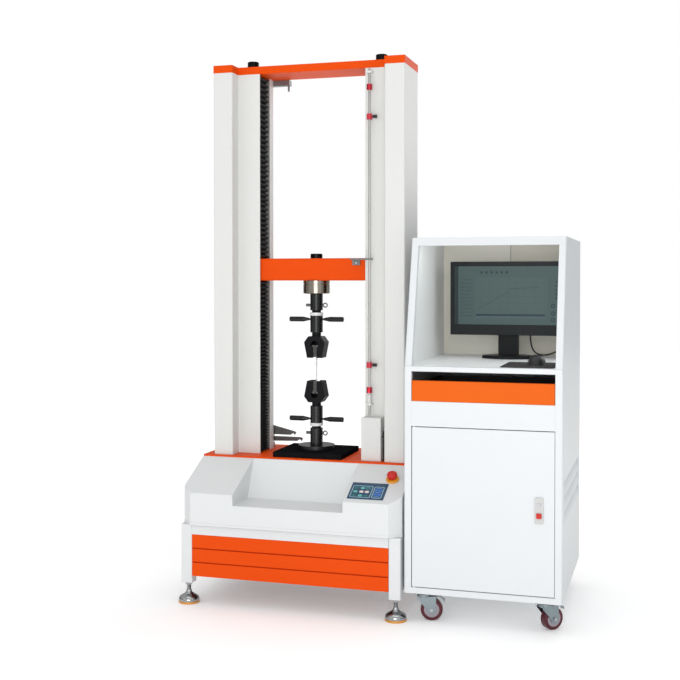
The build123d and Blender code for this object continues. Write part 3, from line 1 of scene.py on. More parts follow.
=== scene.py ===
import bmesh
import bpy
import math
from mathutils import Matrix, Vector


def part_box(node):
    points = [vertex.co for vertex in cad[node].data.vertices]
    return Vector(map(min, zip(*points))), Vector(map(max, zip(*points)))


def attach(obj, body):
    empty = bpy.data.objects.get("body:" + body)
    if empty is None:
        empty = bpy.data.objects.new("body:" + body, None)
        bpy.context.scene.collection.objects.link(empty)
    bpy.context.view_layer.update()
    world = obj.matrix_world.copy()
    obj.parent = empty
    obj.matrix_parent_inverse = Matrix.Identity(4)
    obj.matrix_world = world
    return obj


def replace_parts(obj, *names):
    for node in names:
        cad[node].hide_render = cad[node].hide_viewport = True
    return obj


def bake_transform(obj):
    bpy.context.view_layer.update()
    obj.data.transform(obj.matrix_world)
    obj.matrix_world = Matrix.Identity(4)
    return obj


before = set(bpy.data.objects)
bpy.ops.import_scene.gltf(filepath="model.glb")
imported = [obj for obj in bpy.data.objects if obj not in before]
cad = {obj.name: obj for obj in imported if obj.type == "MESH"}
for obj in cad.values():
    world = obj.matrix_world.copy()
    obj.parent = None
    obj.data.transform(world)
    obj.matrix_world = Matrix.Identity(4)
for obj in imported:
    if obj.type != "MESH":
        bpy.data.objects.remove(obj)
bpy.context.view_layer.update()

# Studio: a white sweep lit by broad soft lamps, with the camera at chest height to the right of
# the machine's middle, as a catalogue picture of a floor machine is taken.
scene = bpy.context.scene
scene.view_settings.view_transform = "Standard"
lens_data = bpy.data.cameras.new("camera")
lens_data.lens = 58.95
lens_data.sensor_width = 36.0
lens_data.shift_y = -0.06
camera = bpy.data.objects.new("camera", lens_data)
camera.location = (1.0931, -4.236, 1.2332)
camera_heading = 16.75
camera_tilt = -1.0
camera.rotation_euler = (math.radians(90 + camera_tilt), 0, math.radians(camera_heading))
scene.collection.objects.link(camera)
scene.camera = camera


def add_lamp(name, place, aim, size, power, height=None, colour=(1, 1, 1)):
    lamp_data = bpy.data.lights.new(name, "AREA")
    lamp_data.shape = "RECTANGLE"
    lamp_data.size = size
    lamp_data.size_y = height or size
    lamp_data.energy = power
    lamp_data.color = colour
    lamp = bpy.data.objects.new(name, lamp_data)
    lamp.location = place
    lamp.rotation_euler = (Vector(aim) - Vector(place)).to_track_quat("-Z", "Y").to_euler()
    lamp.visible_camera = False
    scene.collection.objects.link(lamp)


add_lamp("front_lamp", (0.7, -4.8, 1.25), (0.2, 0, 1.1), 2.4, 74)
add_lamp("key_lamp", (-2.8, -3.4, 2.6), (0, 0, 1.0), 2.0, 6)
add_lamp("fill_lamp", (3.4, -2.6, 2.0), (0.4, 0, 0.9), 2.2, 6, colour=(0.78, 0.9, 1.0))
add_lamp("bay_lamp", (0.4435, -0.16, 1.37), (0.4435, 0.12, 0.923), 0.44, 0.45, 0.02)
add_lamp("bay_side_lamp", (0.69, -0.1, 1.14), (0.2, 0.02, 1.1), 0.02, 0.3, 0.34)
add_lamp("top_lamp", (0.2, 0.2, 5.0), (0.1, 0.2, 0), 4.0, 50)
add_lamp("back_lamp", (0.6, 3.8, 3.0), (0, 0, 1.0), 2.6, 30)


# A wire is one output socket of a node tree. With it, sums over a surface read as plain
# expressions, and every finish below is written that way.
class Wire:
    def __init__(self, tree, socket=None):
        self.tree = tree
        self.socket = socket

    def node(self, kind, settings=None, sockets=None, out=0):
        made = self.tree.nodes.new("ShaderNode" + kind)
        for name, value in (settings or {}).items():
            setattr(made, name, value)
        for name, value in (sockets or {}).items():
            if isinstance(value, Wire):
                self.tree.links.new(value.socket, made.inputs[name])
            else:
                made.inputs[name].default_value = value
        return Wire(self.tree, made.outputs[out])

    def sum(self, operation, first, second):
        return self.node("Math", {"operation": operation}, {0: first, 1: second})

    def __add__(self, other):
        return self.sum("ADD", self, other)

    def __radd__(self, other):
        return self.sum("ADD", other, self)

    def __sub__(self, other):
        return self.sum("SUBTRACT", self, other)

    def __rsub__(self, other):
        return self.sum("SUBTRACT", other, self)

    def __mul__(self, other):
        return self.sum("MULTIPLY", self, other)

    def __rmul__(self, other):
        return self.sum("MULTIPLY", other, self)

    def __truediv__(self, other):
        return self.sum("DIVIDE", self, other)

    def __mod__(self, other):
        return self.sum("FLOORED_MODULO", self, other)

    def axes(self):
        split = self.node("SeparateXYZ", {}, {0: self}).socket.node
        return [Wire(self.tree, socket) for socket in split.outputs]

    def above(self, edge, soft):
        limits = {"Value": self, "From Min": edge - soft, "From Max": edge + soft}
        return self.node("MapRange", {"interpolation_type": "SMOOTHSTEP"}, limits)

    def between(self, low, high, soft):
        return self.above(low, soft) * (1 - self.above(high, soft))

    def either(self, other):
        return self.sum("MAXIMUM", self, other)

    def noise(self, scale, detail=2.0):
        return self.node("TexNoise", {}, {"Vector": self, "Scale": scale, "Detail": detail})

    def stretched(self, sizes):
        return self.node("Mapping", {}, {"Vector": self, "Scale": sizes})

    def reach(self, centre):
        away = self.node("VectorMath", {"operation": "SUBTRACT"}, {0: self, 1: centre})
        return away.node("VectorMath", {"operation": "LENGTH"}, {0: away}, out="Value")

    def tint(self, colour, other):
        blend = {"data_type": "RGBA"}
        return self.node("Mix", blend, {0: self, 6: colour, 7: other}, out=2)


# The sweep is white to the camera. To the machine it is darker near the ground, with dark flags
# left and right, which gives the plated pieces something to mirror.
world = bpy.data.worlds.new("studio")
world.use_nodes = True
sweep = world.node_tree.nodes["Background"]
sweep.inputs["Color"].default_value = (1.0, 1.0, 1.0, 1)
sky = Wire(world.node_tree).node("TexCoord", out="Generated")
sky_x, sky_y, sky_z = sky.axes()
seen = sky.node("LightPath", out="Is Camera Ray")
front = 1 - sky_y.above(-0.3, 0.6)
lift = sky_z.above(0.25, 0.5)
flags = (sky_x * sky_x).above(0.66, 0.16) * (1 - lift)
ground_light, lift_light, front_light = 0.32, 0.32, 0.16
flag_depth = 0.6
dome = (ground_light + lift_light * lift + front_light * front) * (1 - flag_depth * flags)
dome_power = seen + (1 - seen) * dome
world.node_tree.links.new(dome_power.socket, sweep.inputs["Strength"])
scene.world = world


def start_finish(name, colour, roughness, metallic=0.0, fixed=None):
    finish = bpy.data.materials.new(name)
    finish.use_nodes = True
    shader = finish.node_tree.nodes["Principled BSDF"]
    constants = {"Base Color": colour, "Roughness": roughness, "Metallic": metallic}
    for socket, value in (constants | (fixed or {})).items():
        shader.inputs[socket].default_value = value
    place = Wire(finish.node_tree).node("TexCoord", out="Object")
    return finish, shader, place


def feed(shader, **wires):
    for socket, wire in wires.items():
        wire.tree.links.new(wire.socket, shader.inputs[socket.replace("_", " ")])


def relief(height, strength, depth, edge=0.0):
    sockets = {"Height": height, "Strength": strength, "Distance": depth}
    if edge:
        sockets["Normal"] = height.node("Bevel", {"samples": 4}, {"Radius": edge})
    return height.node("Bump", {}, sockets)


# The floor is a matt white sheet. It glows a little, more with distance from the machine, so that
# it runs into the sweep with no line between them.
floor_tones = ((0.93, 0.93, 0.93, 1), (0.95, 0.95, 0.95, 1))
floor_fixed = {"Emission Strength": 0.45, "Specular IOR Level": 0.1}
floor_finish, floor_shader, floor_place = start_finish(
    "studio_floor", floor_tones[0], 0.7, fixed=floor_fixed)
floor_cloud = floor_place.noise(1.5)
sweep_start, sweep_soft = 2.9, 1.9
sweep_rise = floor_place.reach((0, 0, 0)).above(sweep_start, sweep_soft)
near_glow = (0.4, 0.4, 0.4, 1)
far_glow = (1.0, 1.0, 1.0, 1)
feed(
    floor_shader,
    Base_Color=floor_cloud.tint(*floor_tones),
    Emission_Color=sweep_rise.tint(near_glow, far_glow),
)
floor_mesh = bpy.data.meshes.new("floor")
floor_half = 14.0
floor_corners = [(-floor_half, -floor_half, 0), (floor_half, -floor_half, 0)]
floor_corners += [(floor_half, floor_half, 0), (-floor_half, floor_half, 0)]
floor_mesh.from_pydata(floor_corners, [], [(0, 1, 2, 3)])
floor_mesh.materials.append(floor_finish)
floor = bpy.data.objects.new("floor", floor_mesh)
scene.collection.objects.link(floor)

# Base frame: square steel tube welded up with its rails, phosphated and powder coated white.
# The coat shows a fine orange peel and gathers a little grey towards the floor.


def powder_coat(name, colour, shade, low_grey=0.0, accent=None, shine=0.3):
    gloss = {"Coat Roughness": 0.3, "Specular IOR Level": shine}
    finish, shader, place = start_finish(name, colour, 0.4, fixed=gloss)
    peel = place.noise(520.0)
    cloud = place.noise(4.0, 4.0)
    height = place.axes()[2]
    grime = (1 - height.above(0.16, 0.14)) * low_grey
    tone = (cloud * 0.5 + grime).tint(colour, shade)
    if accent:
        tone = accent(place, tone)
    feed(
        shader,
        Base_Color=tone,
        Roughness=0.36 + cloud * 0.12,
        Coat_Weight=shine * (0.4 - cloud * 0.3),
        Normal=relief(peel, 0.12, 0.0004, 0.0015),
    )
    return finish


def dress(finish, *names):
    for name in names:
        mesh = cad[name].data
        mesh.materials.clear()
        mesh.materials.append(finish)


white_tones = ((0.7, 0.718, 0.722, 1), (0.65, 0.67, 0.68, 1))
white_coat = powder_coat("white_powder_coat", *white_tones, 0.25)
dress(white_coat, "base_frame")

# Skirt and base sheets: the front skirt is a folded tray in orange with two pressed grooves whose
# insides are painted darker as shade. The side and rear sheets are white and screwed on through their
# edges.
orange_shine = 0.06
orange_tones = ((0.76, 0.074, 0.004, 1), (0.7, 0.062, 0.003, 1))
orange_coat = powder_coat("orange_powder_coat", *orange_tones, shine=orange_shine)
skirt_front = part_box("skirt_panel")[0].y
groove_lip = 0.0005
groove_depth = 0.004
groove_shadow_tone = (0.4, 0.022, 0.002, 1)
paint_edge = 0.0004


# Painted shade: the inside of each groove is painted a darker orange, standing in for the shade that falls
# in it.
def groove_painted_shade(place, tone):
    depth = place.axes()[1].between(skirt_front + groove_lip, skirt_front + groove_depth, paint_edge)
    return (depth * 0.85).tint(tone, groove_shadow_tone)


skirt_coat = powder_coat("skirt_powder_coat", *orange_tones, accent=groove_painted_shade, shine=orange_shine)
dress(skirt_coat, "skirt_panel")
dress(white_coat, "base_panels")
sharp_angle = math.radians(35)


def add_mesh(name, points, faces, finish, smooth=False):
    mesh = bpy.data.meshes.new(name)
    mesh.from_pydata(points, [], faces)
    mesh.materials.append(finish)
    shape = bmesh.new()
    shape.from_mesh(mesh)
    bmesh.ops.recalc_face_normals(shape, faces=shape.faces)
    shape.to_mesh(mesh)
    shape.free()
    if smooth:
        for face in mesh.polygons:
            face.use_smooth = True
        mesh.set_sharp_from_angle(angle=sharp_angle)
    piece = bpy.data.objects.new(name, mesh)
    scene.collection.objects.link(piece)
    return piece


def join_rings(shapes):
    points = []
    faces = []
    for rings, closed in shapes:
        start = len(points)
        count = len(rings[0])
        for ring in rings:
            points.extend(ring)
        layers = len(rings) if closed else len(rings) - 1
        for layer in range(layers):
            this = start + layer * count
            after = start + (layer + 1) % len(rings) * count
            for i in range(count):
                j = (i + 1) % count
                faces.append((this + i, this + j, after + j, after + i))
        if not closed:
            last = start + (len(rings) - 1) * count
            faces.append(tuple(range(start, start + count)))
            faces.append(tuple(range(last, last + count)))
    return points, faces


def turned(spot, axis, profile, steps):
    axis = Vector(axis).normalized()
    across = axis.orthogonal().normalized()
    other = axis.cross(across)
    rings = []
    for radius, along in profile:
        ring = []
        for i in range(steps):
            angle = 2 * math.pi * i / steps
            away = across * (radius * math.cos(angle)) + other * (radius * math.sin(angle))
            ring.append(tuple(Vector(spot) + axis * along + away))
        rings.append(ring)
    return rings, False


def settle(piece, body):
    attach(piece, body)
    return piece


def plated_steel(name, colour, shade, roughness=0.3, accent=None):
    finish, shader, place = start_finish(name, colour, roughness, 1.0)
    lines = place.stretched((40.0, 40.0, 900.0)).noise(6.0, 3.0)
    cloud = place.noise(35.0, 4.0)
    tone = (lines * 0.6 + cloud * 0.4).tint(colour, shade)
    feed(
        shader,
        Base_Color=accent(place, tone) if accent else tone,
        Roughness=roughness - 0.08 + lines * 0.1 + cloud * 0.1,
        Normal=relief(lines, 0.08, 0.0002, 0.0006),
    )
    return finish


screw_zinc = plated_steel("screw_zinc", (0.5, 0.51, 0.52, 1), (0.4, 0.41, 0.42, 1))
screw_head = [(0.0045, 0.0), (0.0044, 0.0012), (0.0034, 0.0022), (0.0021, 0.0024)]
screw_head += [(0.002, 0.001), (0.0006, 0.0008)]
screw_steps = 18


def add_screws(name, spots, axis, body):
    shapes = [turned(spot, axis, screw_head, screw_steps) for spot in spots]
    settle(add_mesh(name, *join_rings(shapes), screw_zinc, True), body)


sheet_low, sheet_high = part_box("base_panels")
rail_top = 0.303
leg_size = 0.044
screw_edge = 0.014
lower_z = (sheet_low.z + screw_edge, rail_top - screw_edge)
upper_z = (rail_top + screw_edge, sheet_high.z - screw_edge)
rear_mid = (sheet_low.x + sheet_high.x) / 2
rear_in = sheet_low.x + leg_size + screw_edge
rear_out = sheet_low.x + leg_size / 2
rear_spots = [(x, sheet_high.y, z) for x in (rear_in, rear_mid, 2 * rear_mid - rear_in) for z in lower_z]
rear_spots += [(x, sheet_high.y, z) for x in (rear_out, rear_mid, 2 * rear_mid - rear_out) for z in upper_z]
add_screws("base_rear_screws", rear_spots, (0, 1, 0), "load_frame")
table_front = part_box("worktable")[0].y
lower_y = (sheet_low.y + screw_edge, sheet_high.y - leg_size - screw_edge)
upper_y = (table_front + screw_edge, sheet_high.y - screw_edge)
for side_name, side_x, way in (("left", sheet_low.x, -1), ("right", sheet_high.x, 1)):
    side_spots = [(side_x, y, z) for y in lower_y for z in lower_z]
    side_spots += [(side_x, y, z) for y in upper_y for z in upper_z]
    add_screws("base_" + side_name + "_screws", side_spots, (way, 0, 0), "load_frame")

# Levelling feet: low turned bells in bright chrome, each on a brass base ring, with a threaded
# stud and a hexagon jam nut up against the leg.
foot_ring = 0.0092
foot_finish, foot_shader, foot_place = start_finish("foot_chrome", (0.6, 0.6, 0.6, 1), 0.14, 1.0)
foot_height = foot_place.axes()[2]
foot_cloud = foot_place.noise(60.0, 4.0)
brass_part = 1 - foot_height.above(foot_ring, 0.0008)
chrome_tone = foot_cloud.tint((0.5, 0.51, 0.52, 1), (0.3, 0.31, 0.32, 1))
brass_tone = (0.72, 0.36, 0.1, 1)
feed(
    foot_shader,
    Base_Color=brass_part.tint(chrome_tone, brass_tone),
    Roughness=0.1 + foot_cloud * 0.12 + brass_part * 0.2,
)
dress(foot_finish, "levelling_feet")
feet_low, feet_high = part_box("levelling_feet")
foot_radius = 0.04
foot_brass = [(0.0385, 0.0), (0.0398, 0.0012), (0.0398, 0.0082), (0.0388, foot_ring)]
foot_bell = [(0.0394, 0.0102), (0.0399, 0.0132), (0.0393, 0.0172), (0.0374, 0.0212), (0.0342, 0.0248)]
foot_bell += [(0.0298, 0.0281), (0.0248, 0.0309), (0.02, 0.0334), (0.0158, 0.0362), (0.0124, 0.0398)]
foot_bell += [(0.0102, 0.0444), (0.0092, 0.049), (0.0084, 0.05)]
stud_crest, stud_root = 0.0079, 0.0072
stud_start, stud_end = 0.05, 0.0695
stud_pitch = 0.002
stud_turns = 9
for i in range(stud_turns):
    crest_height = stud_start + i * stud_pitch
    foot_bell += [(stud_crest, crest_height), (stud_root, crest_height + stud_pitch / 2)]
foot_bell.append((stud_crest, stud_end))
nut_corner, nut_chamfer = 0.0138, 0.0118
jam_nut = [(nut_chamfer, 0.0682), (nut_corner, 0.0692), (nut_corner, 0.0788), (nut_chamfer, 0.0798)]
foot_steps = 48
hexagon = 6
feet_shapes = []
for foot_x in (feet_low.x + foot_radius, feet_high.x - foot_radius):
    for foot_y in (feet_low.y + foot_radius, feet_high.y - foot_radius):
        feet_shapes.append(turned((foot_x, foot_y, 0), (0, 0, 1), foot_brass + foot_bell, foot_steps))
        feet_shapes.append(turned((foot_x, foot_y, 0), (0, 0, 1), jam_nut, hexagon))
feet = add_mesh("levelling_feet_turned", *join_rings(feet_shapes), foot_finish, True)
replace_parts(settle(feet, "load_frame"), "levelling_feet")

# Console cover: one bent and welded sheet in white, with the sloped shoulders, the tool recess
# between them, and a rolled hem along its foot that stands over the base rail.
dress(white_coat, "console_cover")
cover_low, cover_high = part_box("console_cover")
cover_corner = 0.042
hem_back = cover_high.y - 0.002
hem_path = [(cover_low.x, hem_back), (cover_low.x, cover_low.y + cover_corner)]
hem_path += [(cover_low.x + cover_corner, cover_low.y), (cover_high.x - cover_corner, cover_low.y)]
hem_path += [(cover_high.x, cover_low.y + cover_corner), (cover_high.x, hem_back)]
hem_section = [(-0.0006, 0.0004), (0.0012, 0.0006), (0.002, 0.0016), (0.002, 0.0088), (0.0013, 0.0102)]
hem_section += [(-0.0006, 0.0106)]
hem_normals = []
for (x0, y0), (x1, y1) in zip(hem_path, hem_path[1:]):
    hem_normals.append(Vector((y1 - y0, x0 - x1, 0)).normalized() * -1)
hem_rings = []
for i, (x, y) in enumerate(hem_path):
    before = hem_normals[max(i - 1, 0)]
    after = hem_normals[min(i, len(hem_normals) - 1)]
    mitre = (before + after) / (1 + before.dot(after))
    corner = Vector((x, y, cover_low.z))
    hem_rings.append([tuple(corner + mitre * out + Vector((0, 0, up))) for out, up in hem_section])
hem = add_mesh("console_hem", *join_rings([(hem_rings, False)]), white_coat)
settle(hem, "load_frame")

# Keypad: a printed polyester film stuck to the right shoulder, navy with two outlined fields. The
# keys are embossed in it over dome switches.
keypad_finish, keypad_shader, keypad_place = start_finish("keypad_film", (0.02, 0.1, 0.2, 1), 0.35)
keypad_cloud = keypad_place.noise(40.0)
feed(
    keypad_shader,
    Base_Color=keypad_cloud.tint((0.012, 0.05, 0.11, 1), (0.018, 0.075, 0.14, 1)),
    Roughness=0.3 + keypad_cloud * 0.1,
)
dress(keypad_finish, "control_panel")


def rounded(width, height, corner, steps=4):
    outline = []
    for quarter, (sx, sy) in enumerate(((1, 1), (-1, 1), (-1, -1), (1, -1))):
        for i in range(steps + 1):
            angle = math.pi / 2 * (quarter + i / steps)
            x = sx * (width / 2 - corner) + corner * math.cos(angle)
            y = sy * (height / 2 - corner) + corner * math.sin(angle)
            outline.append((x, y))
    return outline


def lay_out(site, outline, rise, shift=(0, 0)):
    origin, across, up = (Vector(part) for part in site)
    out = across.cross(up)
    start = origin + across * shift[0] + up * shift[1] + out * rise
    return [tuple(start + across * x + up * y) for x, y in outline]


def plate(site, width, height, corner, rise, shift=(0, 0), edge=0.0003):
    outer = rounded(width, height, corner)
    inner = rounded(width - 2 * edge, height - 2 * edge, corner - edge)
    rings = [lay_out(site, outer, 0, shift), lay_out(site, outer, rise - edge, shift)]
    return rings + [lay_out(site, inner, rise, shift)], False


def border(site, width, height, corner, band, rise, shift=(0, 0), hole_shift=(0, 0), edge=0.0002):
    bands = (band, band) if isinstance(band, float) else band
    hole = (width - 2 * bands[0], height - 2 * bands[1])
    hole_corner = max(corner - min(bands), 0.0008)
    near = (shift[0] + hole_shift[0], shift[1] + hole_shift[1])
    outer = rounded(width, height, corner)
    crown = rounded(width - 2 * edge, height - 2 * edge, corner - edge)
    lip = rounded(hole[0] + 2 * edge, hole[1] + 2 * edge, hole_corner + edge)
    inner = rounded(*hole, hole_corner)
    rings = [lay_out(site, outer, 0, shift), lay_out(site, outer, rise - edge, shift)]
    rings += [lay_out(site, crown, rise, shift), lay_out(site, lip, rise, near)]
    rings += [lay_out(site, inner, rise - edge, near), lay_out(site, inner, 0, near)]
    return rings, True


def printed_film(name, colour, shade):
    finish, shader, place = start_finish(name, colour, 0.35)
    cloud = place.noise(180.0, 3.0)
    feed(shader, Base_Color=cloud.tint(colour, shade), Roughness=0.28 + cloud * 0.14)
    return finish


slope_rise, slope_run = 0.106, 0.22
slope = math.atan2(slope_rise, slope_run)
film_low, film_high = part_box("control_panel")
film_thick = 0.0016
film_width = film_high.x - film_low.x
film_length = 0.099
slope_up = Vector((0, math.cos(slope), math.sin(slope)))
slope_out = Vector((0, -math.sin(slope), math.cos(slope)))
film_mid = (Vector(film_low) + Vector(film_high)) / 2 + slope_out * (film_thick / 2)
film_site = (film_mid, (1, 0, 0), slope_up)


def on_film(u, v):
    return ((u - 0.5) * film_width, (0.5 - v) * film_length)


field_rise = 0.0003
field_corner = 0.006
field_line = 0.0022
left_field = (0.56 * film_width, 0.72 * film_length, on_film(0.335, 0.555))
right_field = (0.27 * film_width, 0.7 * film_length, on_film(0.79, 0.565))
outline_print = printed_film("outline_print", (0.4, 0.62, 0.7, 1), (0.33, 0.54, 0.62, 1))
fields = [
    border(film_site, width, height, field_corner, field_line, field_rise, spot, edge=0.0001)
    for width, height, spot in (left_field, right_field)
]
settle(add_mesh("keypad_outlines", *join_rings(fields), outline_print), "load_frame")
key_prints = {
    "teal": ((0.012, 0.13, 0.15, 1), (0.016, 0.16, 0.17, 1)),
    "green": ((0.12, 0.5, 0.45, 1), (0.1, 0.42, 0.38, 1)),
    "white": ((0.82, 0.72, 0.72, 1), (0.74, 0.6, 0.6, 1)),
    "red": ((0.24, 0.03, 0.03, 1), (0.2, 0.02, 0.025, 1)),
    "blue": ((0.03, 0.14, 0.5, 1), (0.05, 0.2, 0.58, 1)),
    "sky": ((0.2, 0.4, 0.8, 1), (0.16, 0.34, 0.72, 1)),
}
key_size = (0.0155, 0.0125)
key_rise = 0.0008
ring_rise = 0.0006
ring_line = 0.0016
columns = (0.165, 0.335, 0.485)
rows = (0.335, 0.56, 0.8)
key_spots = {
    "teal": [(columns[0], rows[0]), (columns[0], rows[2]), (columns[2], rows[2])],
    "green": [(columns[1], rows[0]), (columns[0], rows[1]), (columns[1], rows[2])],
    "white": [(columns[1], rows[1]), (columns[2], rows[1])],
    "red": [((columns[1] + columns[2]) / 2, rows[1])],
    "blue": [(0.735, 0.44), (0.845, 0.44), (0.735, 0.69), (0.845, 0.69)],
    "sky": [(0.79, 0.3), (0.79, 0.565), (0.79, 0.83)],
}
key_shapes = {"red": (0.006, 0.004), "sky": (0.022, 0.0024)}
for print_name, (colour, shade) in key_prints.items():
    width, height = key_shapes.get(print_name, key_size)
    corner = height * 0.4
    keys = [
        plate(film_site, width, height, corner, key_rise, on_film(*spot), 0.0003)
        for spot in key_spots[print_name]
    ]
    if print_name == "green":
        ring_spot = on_film(columns[2], rows[0])
        keys.append(border(film_site, *key_size, corner, ring_line, ring_rise, ring_spot))
    finish = printed_film("key_" + print_name, colour, shade)
    settle(add_mesh("keys_" + print_name, *join_rings(keys), finish), "load_frame")

# Emergency stop: a red moulded mushroom head that latches when pushed, on a yellow bezel clamped
# to the console's shoulder. The door's push lock is moulded in the same red.


def moulded_plastic(name, colour, shade, roughness=0.38, accent=None, shine=0.35):
    finish, shader, place = start_finish(name, colour, roughness, fixed={"Specular IOR Level": shine})
    grain = place.noise(900.0)
    cloud = place.noise(30.0)
    tone = cloud.tint(colour, shade)
    feed(
        shader,
        Base_Color=accent(place, tone) if accent else tone,
        Roughness=roughness - 0.05 + cloud * 0.1,
        Normal=relief(grain, 0.1, 0.0003, 0.0008),
    )
    return finish


stop_yellow = moulded_plastic("stop_yellow", (0.82, 0.34, 0.02, 1), (0.72, 0.28, 0.015, 1))
dress(stop_yellow, "estop_base")
red_plastic = moulded_plastic("stop_red", (0.62, 0.02, 0.012, 1), (0.52, 0.015, 0.01, 1), 0.26)
dress(red_plastic, "estop_button", "door_lock")

# Worktable and tooling plate: the table is painted like the crosshead, the plate is ground
# steel with a black oxide finish.


def black_oxide(name, accent=None, shine=0.18):
    dark = (0.005, 0.0052, 0.006, 1)
    worn = (0.012, 0.0125, 0.014, 1)
    finish, shader, place = start_finish(name, dark, 0.4, fixed={"Specular IOR Level": shine})
    cloud = place.noise(28.0, 5.0)
    speck = place.noise(700.0)
    tone = cloud.tint(dark, worn)
    feed(
        shader,
        Base_Color=accent(place, tone) if accent else tone,
        Roughness=0.46 - shine * 0.8 + cloud * 0.14,
        Normal=relief(speck, 0.15, 0.0003, 0.0008),
    )
    return finish


dress(orange_coat, "worktable")
dress(black_oxide("plate_black_oxide", shine=0.0), "table_plate")

# Columns: folded white sheet over the guides, screwed on from behind and closed on top by the
# orange beam plate.
column_tones = ((0.69, 0.695, 0.675, 1), (0.65, 0.655, 0.635, 1))
column_white = powder_coat("column_powder_coat", *column_tones)
column_screw_heights = (0.6, 1.06, 1.52, 1.98)
dress(column_white, "column_cover_left", "column_cover_right")
dress(orange_coat, "top_beam")
for column_side in ("left", "right"):
    column_low, column_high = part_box("column_cover_" + column_side)
    column_spots = [
        (x, column_high.y, z)
        for x in (column_low.x + screw_edge, column_high.x - screw_edge)
        for z in column_screw_heights
    ]
    add_screws("column_screws_" + column_side, column_spots, (0, 1, 0), "load_frame")

# Guide bars and drive: ground bars with black domed nuts on the beam, rolled ball screws, and the
# motor with its belt under the table.
beam_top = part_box("top_beam")[1].z
nut_black = (0.012, 0.012, 0.013, 1)


def black_above(level):
    def paint(place, tone):
        return place.axes()[2].above(level, 0.0006).tint(tone, nut_black)
    return paint


ground_tones = ((0.55, 0.55, 0.54, 1), (0.42, 0.42, 0.41, 1))
ground_steel = plated_steel("ground_steel", *ground_tones, 0.25)
guide_steel = plated_steel("guide_steel", *ground_tones, 0.3, black_above(beam_top))
dress(guide_steel, "guide_columns")
dress(ground_steel, "screw_bearings", "ball_screw_left", "ball_screw_right")
dress(ground_steel, "motor_pulley", "crosshead_nuts")
blackened = black_oxide("black_oxide")
dress(blackened, "servo_motor")
rubber = moulded_plastic("belt_rubber", (0.02, 0.02, 0.02, 1), (0.03, 0.03, 0.03, 1), 0.7)
dress(rubber, "drive_belt")

# Bellows: black coated cloth, sewn in pleats, that closes each column slot above and below the
# crosshead and stretches as it runs.
cloth_finish, cloth_shader, cloth_place = start_finish("bellows_cloth", (0.01, 0.01, 0.011, 1), 0.7)
weave_wave = cloth_place.node("TexWave", {"wave_type": "BANDS", "bands_direction": "Y"},
                              {"Vector": cloth_place, "Scale": 300.0})
cloth_cloud = cloth_place.noise(20.0, 4.0)
feed(
    cloth_shader,
    Base_Color=cloth_cloud.tint((0.003, 0.003, 0.0035, 1), (0.009, 0.009, 0.01, 1)),
    Roughness=0.42 + cloth_cloud * 0.2,
    Normal=relief(weave_wave, 0.2, 0.0004),
)
half_cloth = 0.0008
sewn_edge = 0.004


def pleated_sheet(name, node, outer, inner, pitches):
    low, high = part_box(node)
    folds = 2 * round((high.z - low.z) / sum(pitches))
    growth = (pitches[1] - pitches[0]) / sum(pitches)
    sides = (low.y, low.y + sewn_edge, (low.y + high.y) / 2, high.y - sewn_edge, high.y)
    ring = []
    for i in range(folds + 1):
        x = inner if i % 2 else outer
        share = i / folds
        ring.append((x, low.z + (high.z - low.z) * share * (1 - growth * (1 - share))))
    outline = [(x - half_cloth, z) for x, z in ring]
    outline += [(x + half_cloth, z) for x, z in reversed(ring)]
    count = len(outline)
    points = [(x, y, z) for y in sides for x, z in outline]
    faces = []
    for layer in range(len(sides) - 1):
        for i in range(count):
            j = (i + 1) % count
            base = layer * count
            faces.append((base + i, base + j, base + count + j, base + count + i))
    half = len(ring)
    for layer in (0, len(sides) - 1):
        base = layer * count
        for i in range(half - 1):
            faces.append((base + i, base + i + 1, base + count - 2 - i, base + count - 1 - i))
    piece = add_mesh(name, points, faces, cloth_finish)
    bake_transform(piece)
    return piece


pleat_depth = 0.0196
pleat_gap = 0.001
pleat_pitches = {"bellows_upper": (0.0096, 0.0104), "bellows_lower": (0.005, 0.0092)}
for part_name, pitches in pleat_pitches.items():
    cloth_low, cloth_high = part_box(part_name)
    left_outer, left_inner = cloth_low.x + pleat_gap, cloth_low.x + pleat_depth - pleat_gap
    right_outer, right_inner = cloth_high.x - pleat_gap, cloth_high.x - pleat_depth + pleat_gap
    left_sheet = pleated_sheet(part_name + "_left", part_name, left_outer, left_inner, pitches)
    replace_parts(left_sheet, part_name)
    pleated_sheet(part_name + "_right", part_name, right_outer, right_inner, pitches)

# Crosshead: a machined beam in orange that carries the load cell, a turned steel can hung on a
# black bolt, and the zinc striker of the limit rod.
dress(orange_coat, "crosshead_beam")
crosshead_low, crosshead_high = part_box("crosshead_beam")
cell_tones = ((0.36, 0.33, 0.27, 1), (0.28, 0.25, 0.21, 1))
dress(plated_steel("cell_steel", *cell_tones, 0.2, black_above(crosshead_high.z)), "load_cell")
striker_zinc = plated_steel("striker_zinc", (0.22, 0.225, 0.22, 1), (0.15, 0.155, 0.15, 1), 0.45)
dress(striker_zinc, "limit_striker")
striker_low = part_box("limit_striker")[0]
striker_plate = 0.006
striker_width = 0.031
striker_rise = 0.009
striker_x = striker_low.x + striker_width / 2
striker_spot = (striker_x, crosshead_low.y - striker_plate, striker_low.z + striker_rise)
add_screws("striker_screw", [striker_spot], (0, -1, 0), "crosshead")

